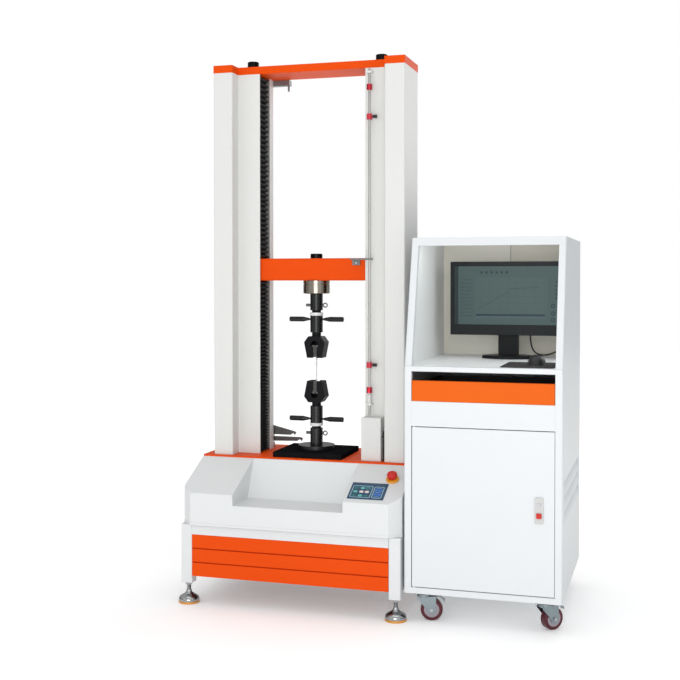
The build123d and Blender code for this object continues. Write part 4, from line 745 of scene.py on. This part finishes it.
# Wedge grips: blackened steel bodies, sleeves and adapters, with plated lock pins, toothed jaws
# and the white index ring of each turning sleeve.
dress(black_oxide("block_black_oxide", shine=0.08), "upper_grip_body", "lower_grip_body")
dress(black_oxide("post_black_oxide", shine=0.34), "upper_adapter", "lower_post")
pin_zinc = plated_steel("pin_zinc", (0.2, 0.2, 0.2, 1), (0.13, 0.13, 0.13, 1), 0.28)
dress(pin_zinc, "upper_lock_pin", "lower_lock_pin")
jaw_steel = plated_steel("jaw_steel", (0.16, 0.155, 0.15, 1), (0.1, 0.1, 0.1, 1), 0.35)
dress(jaw_steel, "upper_jaw_left", "upper_jaw_right", "lower_jaw_left", "lower_jaw_right")
ring_height = 0.012
ring_over = 0.001
ring_white = (0.72, 0.72, 0.72, 1)
upper_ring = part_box("upper_handle")[1].z
lower_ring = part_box("lower_handle")[0].z


def white_rings(place, tone):
    height = place.axes()[2]
    upper = height.between(upper_ring - ring_height, upper_ring + ring_over, paint_edge)
    lower = height.between(lower_ring - ring_over, lower_ring + ring_height, paint_edge)
    return upper.either(lower).tint(tone, ring_white)


dress(black_oxide("sleeve_black_oxide", white_rings, 0.34), "upper_handle", "lower_handle")

# Keyhole covers: plugs turned from blackened steel and pressed into the back of each grip, where
# they close the keyhole.
cover_profile = [(0.0146, 0.0), (0.0146, 0.0042), (0.0138, 0.005), (0.0042, 0.005)]
cover_profile += [(0.0038, 0.0042), (0.0004, 0.0042)]
cover_steps = 32
cover_inset = 0.0025
mouth_reach = 0.053
for grip_name, rider, way in (("upper", "crosshead", 1), ("lower", "load_frame", -1)):
    block_low, block_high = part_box(grip_name + "_grip_body")
    mouth = block_low.z if way > 0 else block_high.z
    spot = ((block_low.x + block_high.x) / 2, block_high.y - cover_inset, mouth + way * mouth_reach)
    plug_rings = [turned(spot, (0, -1, 0), cover_profile, cover_steps)]
    plug = add_mesh(grip_name + "_keyhole_cover", *join_rings(plug_rings), blackened, True)
    settle(plug, rider)

# Specimen: a flat dog bone strip cut from bright steel sheet. The lower jaws hold it, and its top
# stands free in the mouth of the upper grip.
specimen_low = 0.79
specimen_high = 0.9288
grip_mid = (Vector(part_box("lower_post")[0]) + Vector(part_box("lower_post")[1])) / 2
specimen_half = ((0.0, 0.00625), (0.036, 0.00625), (0.044, 0.0045), (0.05, 0.004))
specimen_side = [(half, specimen_low + along) for along, half in specimen_half]
specimen_side += [(half, specimen_high - along) for along, half in reversed(specimen_half)]
specimen_outline = specimen_side + [(-half, z) for half, z in reversed(specimen_side)]
specimen_layers = ((-0.0012, 0.94), (-0.0009, 1.0), (0.0009, 1.0), (0.0012, 0.94))
specimen_rings = [
    [(grip_mid.x + x, grip_mid.y + half * inset, z) for half, z in specimen_outline]
    for x, inset in specimen_layers
]
specimen_steel = plated_steel("specimen_steel", (0.7, 0.7, 0.7, 1), (0.6, 0.6, 0.6, 1), 0.3)
specimen = add_mesh("specimen_strip", *join_rings([(specimen_rings, False)]), specimen_steel)
settle(specimen, "load_frame")

# Limit switch gear on the right column: white box with its black plug, a steel rod with red end
# stops, and red collars clamped to it by black thumb screws.
rod_low, rod_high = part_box("limit_rod")
rod_mid = (Vector(rod_low) + Vector(rod_high)) / 2
stop_reach = 0.0112
stop_heights = (1.975, 0.807)
cable_low, cable_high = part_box("sensor_cable")
cable_thick = 0.006
plug_x = cable_low.x + cable_thick / 2
plug_y = cable_high.y - cable_thick / 2
knob_start = rod_mid.x + 0.0125
plug_start = plug_x - 0.0052
knob_black = (0.015, 0.015, 0.016, 1)
collar_tones = ((0.56, 0.035, 0.055, 1), (0.48, 0.025, 0.045, 1))


def red_stops(place, tone):
    height = place.axes()[2]
    spans = [height.between(z - stop_reach, z + stop_reach, 0.0003) for z in stop_heights]
    return spans[0].either(spans[1]).tint(tone, collar_tones[0])


def black_knob(place, tone):
    return place.axes()[0].above(knob_start, 0.0005).tint(tone, knob_black)


def black_plug(place, tone):
    return place.axes()[0].above(plug_start, 0.0003).tint(tone, knob_black)


box_tones = ((0.68, 0.685, 0.67, 1), (0.64, 0.645, 0.63, 1))
box_white = powder_coat("box_powder_coat", *box_tones, accent=black_plug)
dress(box_white, "limit_switch_box")
rod_tones = ((0.5, 0.5, 0.49, 1), (0.4, 0.4, 0.39, 1))
dress(plated_steel("rod_steel", *rod_tones, 0.35, red_stops), "limit_rod")
collar_red = moulded_plastic("collar_red", *collar_tones, 0.34, black_knob)
dress(collar_red, "limit_collar_upper", "limit_collar_lower")

# Sensor cable: a short black rubber lead from the switch box's plug, held in the plug's sleeve and
# in the grommet of the table below it.
cord_rubber = moulded_plastic("cord_rubber", knob_black, (0.025, 0.025, 0.027, 1), 0.55)


def add_cord(name, route, thick):
    line = bpy.data.curves.new(name, "CURVE")
    line.dimensions = "3D"
    line.bevel_depth = thick / 2
    line.bevel_resolution = 6
    line.use_fill_caps = True
    spline = line.splines.new("NURBS")
    spline.points.add(len(route) - 1)
    for point, spot in zip(spline.points, route):
        point.co = (*spot, 1)
    spline.order_u = 3
    spline.use_endpoint_u = True
    spline.resolution_u = 16
    line.materials.append(cord_rubber)
    piece = bpy.data.objects.new(name, line)
    scene.collection.objects.link(piece)
    return piece


cable_route = [
    (plug_x, plug_y, cable_high.z),
    (plug_x, plug_y, cable_high.z - 0.018),
    (plug_x + 0.001, plug_y - 0.005, cable_high.z - 0.036),
    (plug_x + 0.001, plug_y - 0.005, cable_low.z + 0.034),
    (plug_x, plug_y, cable_low.z + 0.018),
    (plug_x, plug_y, cable_low.z),
]
cable = add_cord("sensor_cable_line", cable_route, cable_thick)
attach(cable, "load_frame")
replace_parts(cable, "sensor_cable")

# Extensometer: two cast alloy follower arms that slide on a steel mast. The mast stands on the
# table, held to the back of the left column by a block at each end.
mast_steel = plated_steel("mast_steel", (0.3, 0.3, 0.3, 1), (0.2, 0.2, 0.2, 1), 0.4)
dress(mast_steel, "extensometer_mast")
arm_alloy = plated_steel("arm_alloy", (0.2, 0.205, 0.205, 1), (0.12, 0.125, 0.125, 1), 0.42)
dress(arm_alloy, "extensometer_arms")

# Cabinet: folded white sheet on casters, its bay lined in a warmer white, with a hinged door, the
# door's grey lock plate and the orange drawer front on its plain steel tray. Painted light and shade:
# the bay's side walls and roof are painted a lighter white, and the louvres, the underside and the
# tray are painted darker.
body_low, body_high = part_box("cabinet_body")
drawer_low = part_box("keyboard_drawer")[0]
lock_low, lock_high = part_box("door_lock")
roof = body_high.z
knee = 0.915
lean_depth = 0.124
lean = lean_depth / (roof - knee)
post_depth = 0.022
shelf = 0.923
back_wall = body_high.y - 0.02
mask_reach = 0.0008
cabinet_bottom = 0.105
vent_depth = 0.006
vent_low, vent_high = 0.364, 0.523
vent_front, vent_rear = body_low.y + 0.065, body_high.y - 0.06
vent_margin = 0.001
drawer_front = drawer_low.y + 0.0182
# The second tone here is painted light: a much lighter white for the bay's side walls and roof, standing in
# for light in the bay.
wall_tone, bay_painted_light_tone = (0.86, 0.83, 0.74, 1), (0.88, 0.9, 0.9, 1)
# Painted shade: the grey-blue that darkens the louvres towards their recessed ends.
louvre_shade_tone = (0.3, 0.34, 0.37, 1)
# Near black below the cabinet's foot: partly the caster plates' own dark colour, partly painted shadow
# under the cabinet.
underside_plate_and_shadow_tone = (0.03, 0.032, 0.035, 1)
lock_plate_tone = (0.56, 0.56, 0.55, 1)
# Near black for the tray behind the drawer front: its steel, darkened as painted shade of the slot above
# the drawer.
tray_and_shade_tone = (0.05, 0.05, 0.052, 1)


# Paints the cabinet sheet: the back wall of the bay in its warmer white, painted light on the bay's other
# walls, painted shade on the louvres and the underside.
def bay_paint_light_and_shade(place, tone):
    x, y, z = place.axes()
    inside = x.between(body_low.x + 0.001, body_high.x - 0.001, paint_edge)
    behind = (y - (z - knee) * lean).above(body_low.y + post_depth, 0.001)
    bay = inside * behind * z.between(shelf - 0.001, roof - 0.001, 0.0005)
    wall = y.between(back_wall - 0.002, back_wall + mask_reach, paint_edge)
    # Painted light: inside the bay, every wall but the back is painted a much lighter white than the sheet
    # outside.
    lining_tone = wall.tint(bay_painted_light_tone, wall_tone)
    tone = (bay * (1 - y.above(back_wall + mask_reach, paint_edge))).tint(tone, lining_tone)
    # Painted shade: each louvre is painted darker with its depth into the side sheet, standing in for the
    # shade that falls in it.
    slat_depth = (body_high.x - x) / vent_depth
    painted_louvre_shade = slat_depth.between(0.04, 1.04, 0.02) * z.between(vent_low, vent_high, 0.0005)
    painted_louvre_shade = painted_louvre_shade * y.between(vent_front + vent_margin, vent_rear - vent_margin, 0.0005)
    tone = (painted_louvre_shade * slat_depth * 0.55).tint(tone, louvre_shade_tone)
    # Below the cabinet's foot the sheet is painted near black: partly the caster plates' own colour, partly
    # painted shadow.
    return (1 - z.above(cabinet_bottom - 0.0004, 0.0003)).tint(tone, underside_plate_and_shadow_tone)


def grey_lock(place, tone):
    return (1 - place.axes()[1].above(body_low.y - mask_reach, paint_edge)).tint(tone, lock_plate_tone)


# Everything of the drawer behind its front is painted near black: the tray's steel, with painted shade of
# the slot above it.
def dark_tray_and_shade(place, tone):
    return place.axes()[1].above(drawer_front, paint_edge).tint(tone, tray_and_shade_tone)


cabinet_tones = ((0.71, 0.733, 0.748, 1), (0.67, 0.69, 0.705, 1))
dress(powder_coat("cabinet_powder_coat", *cabinet_tones, 0.15, bay_paint_light_and_shade), "cabinet_body")
dress(powder_coat("door_powder_coat", *cabinet_tones, 0.1, grey_lock), "cabinet_door")
drawer_tones = ((0.76, 0.125, 0.008, 1), (0.7, 0.108, 0.007, 1))
drawer_orange = powder_coat("drawer_powder_coat", *drawer_tones, accent=dark_tray_and_shade, shine=orange_shine)
dress(drawer_orange, "keyboard_drawer")

# Back wall lining: the right half of the bay's back is a second painted sheet, lapped over the
# first and spot welded to it. The cut edge shows as a dark line.
lining_mid = (body_low.x + body_high.x) / 2
lining_side_gap, lining_foot_gap, lining_top_gap = 0.0025, 0.001, 0.0035
lining_corner, lining_thick = 0.002, 0.0012
lining_width = body_high.x - lining_mid - lining_side_gap
lining_height = roof - shelf - lining_foot_gap - lining_top_gap
lining_spot = (lining_mid + lining_width / 2, back_wall, shelf + lining_foot_gap + lining_height / 2)
lining_site = (lining_spot, (1, 0, 0), (0, 0, 1))
lap_width = 0.0022
lap_tone = (0.2, 0.19, 0.16, 1)


def lapped_edge(place, tone):
    lap = 1 - place.axes()[0].above(lining_mid + lap_width, paint_edge)
    return lap.tint(tone, lap_tone)


lining_tones = ((0.78, 0.75, 0.65, 1), (0.74, 0.71, 0.62, 1))
lining_coat = powder_coat("lining_powder_coat", *lining_tones, accent=lapped_edge)
lining = plate(lining_site, lining_width, lining_height, lining_corner, lining_thick)
settle(add_mesh("bay_lining", *join_rings([lining]), lining_coat), "load_frame")

# Cabinet back screws: zinc plated pan heads in three lines that hold the back sheet to the folded
# body.
back_sheet = 0.002
back_x = (body_low.x + screw_edge, lining_mid, body_high.x - screw_edge)
back_z = (0.14, 0.5, 0.86, 1.36)
back_spots = [(x, back_wall + back_sheet, z) for x in back_x for z in back_z]
add_screws("cabinet_back_screws", back_spots, (0, 1, 0), "load_frame")

# Louvre cheeks: folded tabs that close the ends of the pressed louvres in both sides of the
# cabinet, welded on and painted with the sheet.
cheek_coat = powder_coat("cheek_powder_coat", *cabinet_tones)
cheek_thick = 0.0008
cheek_gap = 0.0002
vent_count = 3
vent_pitch = (vent_high - vent_low) / vent_count
cheek_height = vent_pitch - 0.001
cheek_corner = 0.0008
vent_ends = (vent_front + cheek_thick, vent_rear)
cheek_inset = vent_depth / 2 + cheek_gap
cheeks = []
for side_x in (body_low.x + cheek_inset, body_high.x - cheek_inset):
    for end_y in vent_ends:
        for i in range(vent_count):
            cheek_mid = (side_x, end_y, vent_low + (i + 0.5) * vent_pitch)
            cheek_site = (cheek_mid, (1, 0, 0), (0, 0, 1))
            cheeks.append(plate(cheek_site, vent_depth, cheek_height, cheek_corner, cheek_thick))
settle(add_mesh("louvre_cheeks", *join_rings(cheeks), cheek_coat), "load_frame")

# Door lock: a key barrel turned from steel and zinc plated, let into the lock plate above the red
# push piece.
barrel = [(0.0062, 0.0), (0.0062, 0.0014), (0.0054, 0.0022), (0.0038, 0.0022)]
barrel += [(0.0035, 0.001), (0.0006, 0.001)]
barrel_rise = 0.03
barrel_steps = 24
plate_front = body_low.y - 0.005
barrel_spot = ((lock_low.x + lock_high.x) / 2, plate_front, lock_high.z + barrel_rise)
barrel_rings = [turned(barrel_spot, (0, -1, 0), barrel, barrel_steps)]
settle(add_mesh("lock_barrel", *join_rings(barrel_rings), screw_zinc), "cabinet_door")

# Monitor: a flat panel on its stand, moulded in black, with a raised bezel and a lit screen that
# shows a plain test program.
monitor_tones = ((0.01, 0.012, 0.013, 1), (0.015, 0.017, 0.018, 1))
black_plastic = moulded_plastic("monitor_black", *monitor_tones, shine=0.1)
dress(black_plastic, "monitor_stand", "monitor_panel")
monitor_low, monitor_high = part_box("monitor_panel")
monitor_width = monitor_high.x - monitor_low.x
monitor_height = monitor_high.z - monitor_low.z
bezel_side, bezel_top, bezel_chin = 0.015, 0.018, 0.041
screen_width = monitor_width - 2 * bezel_side
screen_height = monitor_height - bezel_top - bezel_chin
screen_left = monitor_low.x + bezel_side
screen_bottom = monitor_low.z + bezel_chin
monitor_mid = (Vector(monitor_low) + Vector(monitor_high)) / 2
monitor_mid.y = monitor_low.y
monitor_site = (monitor_mid, (1, 0, 0), (0, 0, 1))
bezel_bands = (bezel_side, (bezel_top + bezel_chin) / 2)
bezel_shift = (0, (bezel_chin - bezel_top) / 2)
bezel_corner, bezel_rise = 0.004, 0.003
bezel = border(monitor_site, monitor_width, monitor_height, bezel_corner, bezel_bands, bezel_rise,
               hole_shift=bezel_shift, edge=0.0006)
settle(add_mesh("monitor_bezel", *join_rings([bezel]), black_plastic), "monitor_panel")
screen_fixed = {"Emission Strength": 0.5, "Specular IOR Level": 0.1}
screen_dark = (0.02, 0.03, 0.03, 1)
screen_finish, screen_shader, screen_place = start_finish(
    "monitor_screen", screen_dark, 0.3, fixed=screen_fixed)
screen_x, _, screen_z = screen_place.axes()
across = (screen_x - screen_left) / screen_width
upward = (screen_z - screen_bottom) / screen_height
soft = 0.003
panel_grain = screen_place.noise(90.0, 3.0)
picture = panel_grain.tint((0.075, 0.125, 0.122, 1), (0.095, 0.15, 0.145, 1))
graph = across.between(0.2, 0.88, soft) * upward.between(0.2, 0.8, soft)
picture = (graph * 0.35).tint(picture, (0.13, 0.19, 0.18, 1))
grid_x = (across % 0.085).between(0.0, 0.004, 0.001)
grid_z = (upward % 0.12).between(0.0, 0.006, 0.002)
picture = (graph * grid_x.either(grid_z) * 0.5).tint(picture, (0.05, 0.09, 0.09, 1))
rise = upward - 0.26 - 0.5 * ((across - 0.22) / 0.5)
curve = rise.between(-0.009, 0.009, 0.004) * across.between(0.22, 0.52, soft)
yielded = (upward - 0.56 - 0.1 * across).between(-0.009, 0.009, 0.004) * across.between(0.52, 0.8, soft)
picture = (graph * curve.either(yielded) * 0.4).tint(picture, (0.02, 0.04, 0.06, 1))
words = across.node("CombineXYZ", {}, {0: across * 60.0, 1: upward * 8.0}).noise(3.0)
lines = (upward % 0.062).between(0.012, 0.034, 0.006) * words.above(0.5, 0.06)
listing = across.between(0.055, 0.175, soft) * upward.between(0.1, 0.8, soft)
picture = (listing * lines * 0.75).tint(picture, (0.03, 0.05, 0.05, 1))
tools = (across % 0.048).between(0.012, 0.034, 0.004) * across.between(0.24, 0.52, soft)
picture = (tools * upward.between(0.872, 0.912, 0.006)).tint(picture, (0.015, 0.025, 0.025, 1))
bar = across.between(0.21, 0.86, soft) * upward.between(0.15, 0.18, soft)
picture = bar.tint(picture, (0.008, 0.02, 0.05, 1))
foot_strip = across.between(0.21, 0.86, soft) * upward.between(0.11, 0.145, soft)
picture = (foot_strip * 0.4).tint(picture, (0.14, 0.17, 0.26, 1))
for icon_height in (0.326, 0.2, 0.092):
    side_reach = across - 0.935
    high_reach = upward - icon_height
    spread = side_reach * side_reach * 3.2 + high_reach * high_reach
    picture = spread.between(0.0004, 0.0013, 0.0002).tint(picture, (0.01, 0.03, 0.05, 1))
marks = across.between(0.955, 0.972, 0.002) * upward.between(0.42, 0.74, soft)
marks = marks * (upward % 0.07).between(0.02, 0.05, 0.005)
picture = marks.tint(picture, (0.015, 0.03, 0.035, 1))
edge_bar = 1 - across.above(0.04, 0.002)
picture = edge_bar.tint(picture, (0.006, 0.008, 0.01, 1))
feed(screen_shader, Emission_Color=picture, Roughness=0.26 + panel_grain * 0.1)
screen_gap = 0.0006
screen_corner, screen_rise = 0.001, 0.0008
screen_size = (screen_width - screen_gap, screen_height - screen_gap)
screen = plate(monitor_site, *screen_size, screen_corner, screen_rise, bezel_shift, 0.0002)
settle(add_mesh("monitor_screen", *join_rings([screen]), screen_finish), "monitor_panel")

# Monitor lead: a black rubber lead from a gland in the back wall. It hangs in a loop over the shelf
# and leaves through a gland in the right wall.
lead_low, lead_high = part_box("monitor_lead")
lead_thick = 0.006
lead_x = lead_low.x + lead_thick / 2
lead_y = lead_high.y
lead_top = lead_high.z - lead_thick / 2
lead_end = (lead_high.x, lead_y - 0.033, shelf + 0.045)
lead_route = [
    (lead_x, lead_y, lead_top),
    (lead_x, lead_y - 0.022, lead_top),
    (lead_x, lead_y - 0.044, lead_top - 0.018),
    (lead_x + 0.001, lead_y - 0.052, lead_top - 0.054),
    (lead_x, lead_y - 0.054, shelf + 0.096),
    (lead_x + 0.002, lead_y - 0.055, shelf + 0.052),
    (lead_x + 0.014, lead_y - 0.056, shelf + 0.020),
    (lead_x + 0.040, lead_y - 0.054, shelf + 0.006),
    (lead_x + 0.074, lead_y - 0.046, shelf + 0.008),
    (lead_x + 0.106, lead_y - 0.038, shelf + 0.022),
    (lead_x + 0.132, lead_y - 0.034, shelf + 0.040),
    (lead_end[0] - 0.022, lead_end[1], lead_end[2]),
    lead_end,
]
lead = add_cord("monitor_lead_line", lead_route, lead_thick)
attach(lead, "load_frame")
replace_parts(lead, "monitor_lead")

# Mouse and pad: a rubber pad faced with black cloth lies at the front of the shelf, and a moulded
# mouse stands on it.
pad_thick = 0.003
pad_site = ((0.594, body_low.y + 0.158, shelf), (1, 0, 0), (0, 1, 0))
pad_cloth = moulded_plastic("pad_cloth", (0.02, 0.019, 0.02, 1), (0.045, 0.042, 0.042, 1), 0.8)
pad_width, pad_length, pad_corner = 0.19, 0.25, 0.012
pad = plate(pad_site, pad_width, pad_length, pad_corner, pad_thick, edge=0.0008)
settle(add_mesh("mouse_pad", *join_rings([pad]), pad_cloth), "load_frame")
mouse_length, mouse_width, mouse_height = 0.108, 0.062, 0.036
mouse_mid = Vector((0.615, body_low.y + 0.17, shelf + pad_thick))
mouse_slices = 12
mouse_steps = 24
mouse_rings = []
for i in range(mouse_slices + 1):
    share = 0.02 + 0.96 * i / mouse_slices
    swell = (4 * share * (1 - share)) ** 0.32
    hump = (math.sin(math.pi * share ** 0.8)) ** 0.55
    ring = []
    for j in range(mouse_steps):
        angle = 2 * math.pi * j / mouse_steps
        cheek = math.copysign(abs(math.cos(angle)) ** 0.7, math.cos(angle)) * mouse_width / 2 * swell
        crown = max(math.sin(angle), 0.0) ** 0.75 * mouse_height * hump
        ring.append(tuple(mouse_mid + Vector((cheek, (share - 0.5) * mouse_length, crown))))
    mouse_rings.append(ring)
mouse_black = moulded_plastic("mouse_black", (0.008, 0.008, 0.009, 1), (0.016, 0.016, 0.017, 1), 0.4)
mouse = add_mesh("mouse", *join_rings([(mouse_rings, False)]), mouse_black, True)
settle(mouse, "load_frame")

# Casters: zinc plated swivel forks with brake pedals, on polyurethane tyres round pale cores, held
# by hexagon axle bolts.
zinc = plated_steel("zinc_plate", (0.3, 0.35, 0.37, 1), (0.2, 0.245, 0.265, 1), 0.3)
bolt_head = [(0.0068, 0.0), (0.0068, 0.004), (0.0056, 0.005), (0.0005, 0.0051)]
axle_reach = 0.019
core_radius = 0.031
core_tone = (0.3, 0.27, 0.3, 1)
tyre_tones = ((0.062, 0.006, 0.013, 1), (0.09, 0.009, 0.018, 1))


def tyred_core(centre):
    def paint(place, tone):
        core = 1 - place.reach(centre).above(core_radius, 0.0006)
        return core.tint(tone, core_tone)
    return paint


caster_headings = {"front_left": 10, "front_right": 44, "rear_left": 170, "rear_right": 200}
for corner, heading in caster_headings.items():
    dress(zinc, "caster_fork_" + corner)
    wheel_low, wheel_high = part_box("caster_wheel_" + corner)
    axle = (Vector(wheel_low) + Vector(wheel_high)) / 2
    tyre = moulded_plastic("tyre_" + corner, *tyre_tones, 0.3, tyred_core(tuple(axle)))
    dress(tyre, "caster_wheel_" + corner)
    turn = math.radians(heading)
    axis = Vector((math.sin(turn), -math.cos(turn), 0))
    bolts = [turned(axle + axis * (side * axle_reach), axis * side, bolt_head, hexagon)
             for side in (-1, 1)]
    bolt_pair = add_mesh("axle_bolts_" + corner, *join_rings(bolts), screw_zinc)
    settle(bolt_pair, "caster_fork_" + corner)
